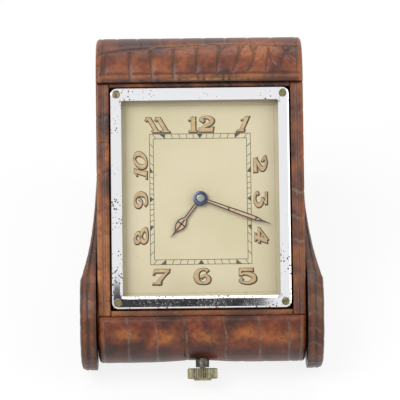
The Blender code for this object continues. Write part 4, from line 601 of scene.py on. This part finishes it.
# Each number has its place on the dial in mm, its turn in degrees and its slant.
numbers = (("12", 0.4, 25.4, 0, 0.0), ("1", 14.6, 25.4, 0, 0.45), ("2", 20.2, 11.8, -90, -0.24),
           ("3", 20.3, -0.1, -90, 0.0), ("4", 20.3, -12.8, -90, 0.30), ("5", 15.0, -26.2, 0, -0.12),
           ("6", 0.0, -26.2, 0, 0.0), ("7", -13.8, -26.2, 0, 0.22), ("8", -20.3, -12.5, 90, -0.24),
           ("9", -20.3, -0.1, 90, 0.0), ("10", -20.3, 11.8, 90, 0.28),
           ("11", -14.8, 25.4, 0, -0.58))


def swept(points):
    """A smooth row of points through a stroke's own."""
    path = np.array([points[0], *points, points[-1]], float)
    found = [points[0]]
    for a, b, c, d in zip(path, path[1:], path[2:], path[3:]):
        for t in (np.arange(6) + 1) / 6:
            found.append(0.5 * (2 * b + (c - a) * t + (2 * a - 5 * b + 4 * c - d) * t ** 2
                                + (3 * b - a - 3 * c + d) * t ** 3))
    return np.array(found)


def pen_stroke(form, over, under):
    """Draws a broad nib along a stroke, from its two rows of edge points."""
    ends = [form.verts.new(over[0]), form.verts.new(under[0])]
    nib = form.edges.new(ends)
    for spots in zip(over[1:], under[1:]):
        was = ends[0].co.copy()
        made = bmesh.ops.extrude_edge_only(form, edges=[nib])["geom"]
        nib = next(item for item in made if isinstance(item, bmesh.types.BMEdge))
        ends = sorted(nib.verts, key=lambda vert: (vert.co - was).length)
        ends[0].co, ends[1].co = spots


for label, at_x, at_z, turn, slant in numbers:
    width = sum(advances.get(digit, WIDE_ADVANCE) for digit in label) - FIGURE_GAP
    tall = SIDE_FIGURE_SHARE if turn else 1.0
    for layer, material, grow, level, right, down in (("ground", ground, 0.055, 0.02, 0.17, -0.17),
                                                      ("face", gilt, -0.012, 0.05, 0.0, 0.0)):
        form, pen = bmesh.new(), -width / 2
        for digit in label:
            for order, stroke in enumerate(strokes[digit]):
                line = swept(stroke) if len(stroke) > 2 else np.array(stroke)
                way = np.gradient(line[:, :2], axis=0)
                way /= np.maximum(np.linalg.norm(way, axis=1, keepdims=True), 1e-9)
                line[0, :2] -= way[0] * grow
                line[-1, :2] += way[-1] * grow
                reach = np.column_stack((-way[:, 1], way[:, 0])) * (line[:, 2:3] + grow)
                sides = [(line[:, :2] + reach * sign + (pen, -0.5)) * FIGURE_HEIGHT
                         for sign in (1, -1)]
                pen_stroke(form, *[[Vector((x + z * slant, 0.002 * order, z * tall))
                                    for x, z in spots] for spots in sides])
            pen += advances.get(digit, WIDE_ADVANCE)
        bmesh.ops.rotate(form, verts=form.verts,
                         matrix=Matrix.Rotation(-math.radians(turn), 3, "Y"))
        bmesh.ops.translate(form, verts=form.verts,
                            vec=(at_x + right, DIAL_FRONT - level, at_z + down))
        printed(form, INK_DEPTH)
        shape("number_" + label + "_" + layer, form, material, "case", dial)

# Hands. Stamped steel skeletons, browned with tarnish, with luminous paste floated between the rims
# that has dried to tan. Each boss is a separate blued collet riveted in.
tarnish, tree, shader, place = start("tarnished_hand_steel")
clouded(tree, shader, place, 1.2, 3.0, ("2c2224", "483a3c"))
shader.inputs["Metallic"].default_value = 0.2
shader.inputs["Roughness"].default_value = 0.45
paste, tree, shader, place = start("dried_luminous_paste")
cloud, _ = clouded(tree, shader, place, 0.8, 5.0, ("c3a587", "d8bfa3"))
grit = add(tree, "Bump", [("Height", cloud), ("Strength", 0.3), ("Distance", 0.0001)])
tree.links.new(grit.outputs[0], shader.inputs["Normal"])
shader.inputs["Roughness"].default_value = 0.85
RIM_WIDTH, RIM_DEPTH, TIP, LIFT = 0.36, 0.28, 0.06, 0.15
PASTE_BACK, PASTE_DEPTH, BAR_DEPTH = 0.26, 0.16, 0.40
# A hand has its body, length, rest angle and level, then its outline as (share of the length, half
# width in mm) and the bars across its frame as (share of the length, width, height in mm).
hands = (("minute", "minute_arbor", 25.2, 110.6, 4.85,
          ((0.085, 0.55), (0.62, 0.80), (0.80, 0.74), (0.88, 0.28)),
          ((0.40, 1.4, 0.4), (0.79, 1.4, 0.4))),
         ("hour", "hour_pipe", 16.6, 217.7, 5.65,
          ((0.13, 0.60), (0.50, 0.56), (0.55, 1.20), (0.63, 1.75), (0.72, 1.55), (0.80, 0.90),
           (0.86, 0.30)),
          ((0.65, 3.2, 0.42), (0.68, 0.42, 4.8))))
for word, body, length, degrees, level, outline, bars in hands:
    holder = dial @ Matrix.Rotation(math.radians(degrees), 4, "Y")
    form = bmesh.new()
    right, left = [[form.verts.new((side * wide, level - LIFT, share * length))
                    for share, wide in outline] for side in (1, -1)]
    blade = form.faces.new(right + left[::-1])
    neck = form.edges.get((right[-1], left[-1]))
    for vert in bmesh.ops.extrude_edge_only(form, edges=[neck])["geom"]:
        if isinstance(vert, bmesh.types.BMVert):
            vert.co = (math.copysign(TIP, vert.co.x), level - LIFT, length)
    form.normal_update()
    bmesh.ops.inset_individual(form, faces=[blade], thickness=RIM_WIDTH, use_even_offset=True)
    fill = bmesh.new()
    behind = Vector((0, PASTE_BACK, 0))
    fill.faces.new([fill.verts.new(vert.co + behind) for vert in blade.verts])
    bmesh.ops.delete(form, geom=[blade], context="FACES_ONLY")
    printed(form, -RIM_DEPTH)
    for share, wide, tall in bars:
        lay = (Matrix.Translation((0.0, level, share * length))
               @ Matrix.Diagonal((wide, BAR_DEPTH, tall, 1.0)))
        bmesh.ops.create_cube(form, size=1.0, matrix=lay)
    shape(word + "_hand_frame", form, tarnish, body, holder)
    printed(fill, PASTE_DEPTH)
    shape(word + "_hand_paste", fill, paste, body, holder)
    form = bmesh.new()
    profile = [form.verts.new((radius, level + rise, 0.0)) for radius, rise in (
        (1.12, 0.12), (1.12, -0.20), (1.35, -0.26), (2.2, -0.24), (2.5, -0.12), (2.5, 0.12))]
    ring = [form.edges.new(pair) for pair in zip(profile, profile[1:] + profile[:1])]
    bmesh.ops.spin(form, geom=profile + ring, cent=(0, 0, 0), axis=(0, 1, 0), angle=math.tau,
                   steps=40, use_merge=True)
    collet = shape(word + "_hand_collet", form, blued, body, holder)
    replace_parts(collet, word + "_hand")

# Glass. A flat pane held under the bezel by the band's lugs. It is clear, so it shows only as a
# faint reflection that grows at a slant, and shadows and light pass through it.
pane = bpy.data.materials.new("clear_flat_glass")
pane.use_nodes = True
tree = pane.node_tree
tree.nodes.clear()
clear = add(tree, "BsdfTransparent", [("Color", srgb("fdfdfc"))])
shine = add(tree, "BsdfGlossy", [("Color", srgb("ffffff")), ("Roughness", 0.02)])
facing = add(tree, "LayerWeight", [("Blend", 0.5)])
slant = add(tree, "Math", [(0, facing.outputs["Facing"]), (1, 5.0)], operation="POWER")
share = add(tree, "MapRange", [("Value", slant.outputs[0]), ("To Min", 0.002), ("To Max", 0.8)])
both = add(tree, "MixShader", [(0, share.outputs[0]), (1, clear.outputs[0]),
                               (2, shine.outputs[0])])
add(tree, "OutputMaterial", [("Surface", both.outputs[0])])
dress(pane, "glass")

# Bezel. Brass pressed to shape and chrome-plated. The plate is bright, but pinholes have let the
# brass corrode into small dull pits, thickest along the left and inner edges and low down.
chrome, tree, shader, place = start("pitted_chrome")
upright = add(tree, "Mapping", [("Vector", place), ("Rotation", (LEAN, 0, 0)),
                                ("Location", case.inverted().translation * 0.001)])
along = add(tree, "SeparateXYZ", [(0, upright.outputs[0])])
# Pits lie 0.5 mm apart on the real plate, and are drawn 1 mm apart so that they show.
pits = add(tree, "TexVoronoi", [("Vector", place), ("Scale", 1000 / 1.0)])
patch = add(tree, "TexNoise", [("Vector", place), ("Scale", 1000 / 9), ("Detail", 4.0)])
left = add(tree, "MapRange", [("Value", along.outputs["X"]), ("From Min", -0.0262),
                              ("From Max", -0.0290), ("To Min", 0.0), ("To Max", 0.13)])
low = add(tree, "MapRange", [("Value", along.outputs["Z"]), ("From Min", 0.045),
                             ("From Max", 0.006), ("To Min", 0.0), ("To Max", 0.17)])
worse = add(tree, "Math", [(0, left.outputs[0]), (1, low.outputs[0])], operation="ADD")
amount = add(tree, "Math", [(0, worse.outputs[0]), (1, patch.outputs["Fac"])], operation="ADD")
reach = add(tree, "MapRange", [("Value", amount.outputs[0]), ("From Min", 0.54),
                               ("From Max", 0.82), ("To Min", 0.04), ("To Max", 0.42)])
pit = add(tree, "Math", [(0, pits.outputs["Distance"]), (1, reach.outputs[0])],
          operation="LESS_THAN").outputs[0]
colour = add(tree, "Mix", [(0, pit), (6, srgb("e9e9ec")), (7, srgb("5f5a55"))], data_type="RGBA")
tree.links.new(colour.outputs[2], shader.inputs["Base Color"])
film = add(tree, "MapRange", [("Value", patch.outputs["Fac"]), ("To Min", 0.02), ("To Max", 0.07)])
rough = add(tree, "Mix", [(0, pit), (2, film.outputs[0]), (3, 0.6)])
tree.links.new(rough.outputs[0], shader.inputs["Roughness"])
bump = add(tree, "Bump", [("Height", pit), ("Strength", 0.5), ("Distance", 0.00004)], invert=True)
tree.links.new(bump.outputs[0], shader.inputs["Normal"])
shader.inputs["Metallic"].default_value = 1.0
dress(chrome, "bezel")

# Bezel screws. Four cheese-head screws through the bezel's corners, nickel-plated, worn to yellow
# on top and dulled by dirt.
worn, tree, shader, place = start("worn_nickel")
clouded(tree, shader, place, 0.7, 4.0, ("4a432c", "8f8562"), (0.55, 0.32))
shader.inputs["Metallic"].default_value = 0.9
dress(worn, *[node for node in frame["nodes"] if node.startswith("bezel_screw")])

# Winding stem. Plain steel in a steel ferrule, blackened by oil and handling where it leaves the
# leather.
oily, tree, shader, place = start("oil_blackened_steel")
clouded(tree, shader, place, 1.0, 4.0, ("2a2826", "6a665f"), (0.25, 0.5))
shader.inputs["Metallic"].default_value = 0.9
dress(oily, "stem_ferrule", "winding_stem")

# Winding knob. Turned from brass bar with a straight knurl pressed into its rim and a boss beneath,
# then nickel-plated. Dirt in the knurl makes it read as fine dark bars.
nickel, tree, shader, place = start("dirty_knurled_nickel")
_, tone = clouded(tree, shader, place, 1.5, 5.0, ("847c60", "b9b293"), (0.28, 0.5))
knurl = add(tree, "Attribute", attribute_name="crease").outputs["Fac"]
filled = add(tree, "Mix", [(0, knurl), (6, tone), (7, srgb("2f2b22"))], data_type="RGBA")
tree.links.new(filled.outputs[2], shader.inputs["Base Color"])
shader.inputs["Metallic"].default_value = 0.9
STEM_FORWARD, FLANKS = 3.0, 96
form = bmesh.new()
layer = form.verts.layers.float.new("crease")
bmesh.ops.create_circle(form, cap_ends=True, segments=FLANKS, radius=1.0)
cap = form.faces[:][0]
# Rows down the stem: height, then the radius on the ridges and in the grooves.
rows = ((-18.1, 4.75, 4.75), (-18.4, 5.08, 4.80), (-21.3, 5.08, 4.80), (-21.6, 4.75, 4.75),
        (-21.6, 3.0, 3.0), (-22.05, 3.0, 3.0), (-22.2, 2.85, 2.85))
for k, (height, ridge, groove) in enumerate(rows):
    if k:
        grown = bmesh.ops.extrude_face_region(form, geom=[cap])["geom"]
        cap = next(face for face in grown if isinstance(face, bmesh.types.BMFace))
    for vert in cap.verts:
        turn = math.atan2(vert.co.y + STEM_FORWARD * bool(k), vert.co.x)
        sunk = round(turn / math.tau * FLANKS) % 2
        radius = groove if sunk else ridge
        vert.co = (radius * math.cos(turn), radius * math.sin(turn) - STEM_FORWARD, height)
        vert[layer] = 0.9 if sunk and ridge > groove else 0.0
knob = shape("knurled_knob", form, nickel, "knob", case)
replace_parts(knob, "winding_knob")


# Floor, light and camera. The floor and the sky are white to the camera and in reflections, and the
# lamps are soft. A narrow dark card, seen only in reflections, stands where the bezel's foot
# mirrors it.
def looked_at(tree):
    """Is 1 on a ray from the camera, or one reflected or passed on by metal or glass."""
    ray = add(tree, "LightPath")
    seen = add(tree, "Math", [(0, ray.outputs["Is Camera Ray"]), (1, ray.outputs["Is Glossy Ray"])],
               operation="MAXIMUM")
    return add(tree, "Math", [(0, seen.outputs[0]), (1, ray.outputs["Is Transmission Ray"])],
               operation="MAXIMUM").outputs[0]


def prop(name, form, material):
    """Turns a bmesh drawn in metres into a piece of the studio."""
    mesh = bpy.data.meshes.new(name)
    form.to_mesh(mesh)
    form.free()
    mesh.materials.append(material)
    made = bpy.data.objects.new(name, mesh)
    bpy.context.scene.collection.objects.link(made)
    return made


snow, tree, shader, place = start("matt_white_floor")
clouded(tree, shader, place, 40, 3.0, ("f1f1f1", "f6f6f6"))
shader.inputs["Roughness"].default_value = 0.9
glow = add(tree, "Emission", [("Color", srgb("ffffff")), ("Strength", 1.0)])
share = add(tree, "Math", [(0, looked_at(tree)), (1, 0.85)], operation="MULTIPLY")
blended = add(tree, "MixShader", [(0, share.outputs[0]), (1, shader.outputs[0]),
                                  (2, glow.outputs[0])])
tree.links.new(blended.outputs[0], tree.nodes["Material Output"].inputs["Surface"])
form = bmesh.new()
bmesh.ops.create_grid(form, x_segments=1, y_segments=1, size=3.0)
floor = prop("floor", form, snow)

world = bpy.data.worlds.new("studio")
bpy.context.scene.world = world
world.use_nodes = True
tree = world.node_tree
sky = tree.nodes["Background"]
sky.inputs["Color"].default_value = (1.0, 1.0, 1.0, 1.0)
level = add(tree, "MapRange", [("Value", looked_at(tree)), ("To Min", 0.45), ("To Max", 1.0)])
tree.links.new(level.outputs[0], sky.inputs["Strength"])
lit = dial @ Vector((0.0, DIAL_FRONT, 0.0))
for name, spot, size, power in (("key", (-0.45, -0.35, 0.85), 0.6, 6.0),
                                ("fill", (0.6, -0.3, 0.6), 0.7, 2.6),
                                ("back", (0.1, 0.7, 0.9), 0.6, 2.6)):
    light = bpy.data.lights.new(name, "AREA")
    light.energy = power
    light.size = size
    lamp = bpy.data.objects.new(name, light)
    lamp.location = spot
    lamp.rotation_euler = (lit - Vector(spot)).to_track_quat("-Z", "Y").to_euler()
    bpy.context.scene.collection.objects.link(lamp)

# The camera looks at the dial near its middle, and takes in this width there, in metres.
PICTURE_WIDTH, DISTANCE, SENSOR = 0.1353, 0.9, 36.0
look = dial @ Vector((-0.2, DIAL_FRONT, -0.4))
azimuth, elevation, roll_turn = [math.radians(angle) for angle in (-0.5, 40.0, -0.35)]
back = Vector((math.sin(azimuth) * math.cos(elevation), -math.cos(azimuth) * math.cos(elevation),
               math.sin(elevation)))
lens = bpy.data.cameras.new("camera")
lens.sensor_width = SENSOR
lens.lens = SENSOR * DISTANCE / PICTURE_WIDTH
camera = bpy.data.objects.new("camera", lens)
aim = (-back).to_track_quat("-Z", "Y").to_matrix().to_4x4()
camera.matrix_world = (Matrix.Translation(look + back * DISTANCE) @ aim
                       @ Matrix.Rotation(roll_turn, 4, "Z"))
bpy.context.scene.collection.objects.link(camera)
bpy.context.scene.camera = camera
bpy.context.scene.view_settings.view_transform = "Standard"

# The card's place is where a ray from the camera goes on after the middle of the bezel's foot.
CARD_WIDTH, CARD_HEIGHT, CARD_DISTANCE = 0.125, 0.030, 1.2
foot = case @ Vector((-5.0, -15.0, 3.8))
facing = (case.to_3x3() @ Vector((0.0, -1.0, 0.0))).normalized()
onward = (foot - (look + back * DISTANCE)).normalized().reflect(facing)
black, tree, shader, place = start("dull_black_card")
clouded(tree, shader, place, 5, 3.0, ("08080a", "141418"))
shader.inputs["Roughness"].default_value = 1.0
form = bmesh.new()
bmesh.ops.create_grid(form, x_segments=1, y_segments=1, size=0.5,
                      matrix=Matrix.Diagonal((CARD_WIDTH, CARD_HEIGHT, 1.0, 1.0)))
bmesh.ops.rotate(form, verts=form.verts, matrix=onward.to_track_quat("Z", "Y").to_matrix())
bmesh.ops.translate(form, verts=form.verts, vec=foot + onward * CARD_DISTANCE)
card = prop("reflection_card", form, black)
card.visible_camera = card.visible_diffuse = False
card.visible_shadow = card.visible_transmission = False
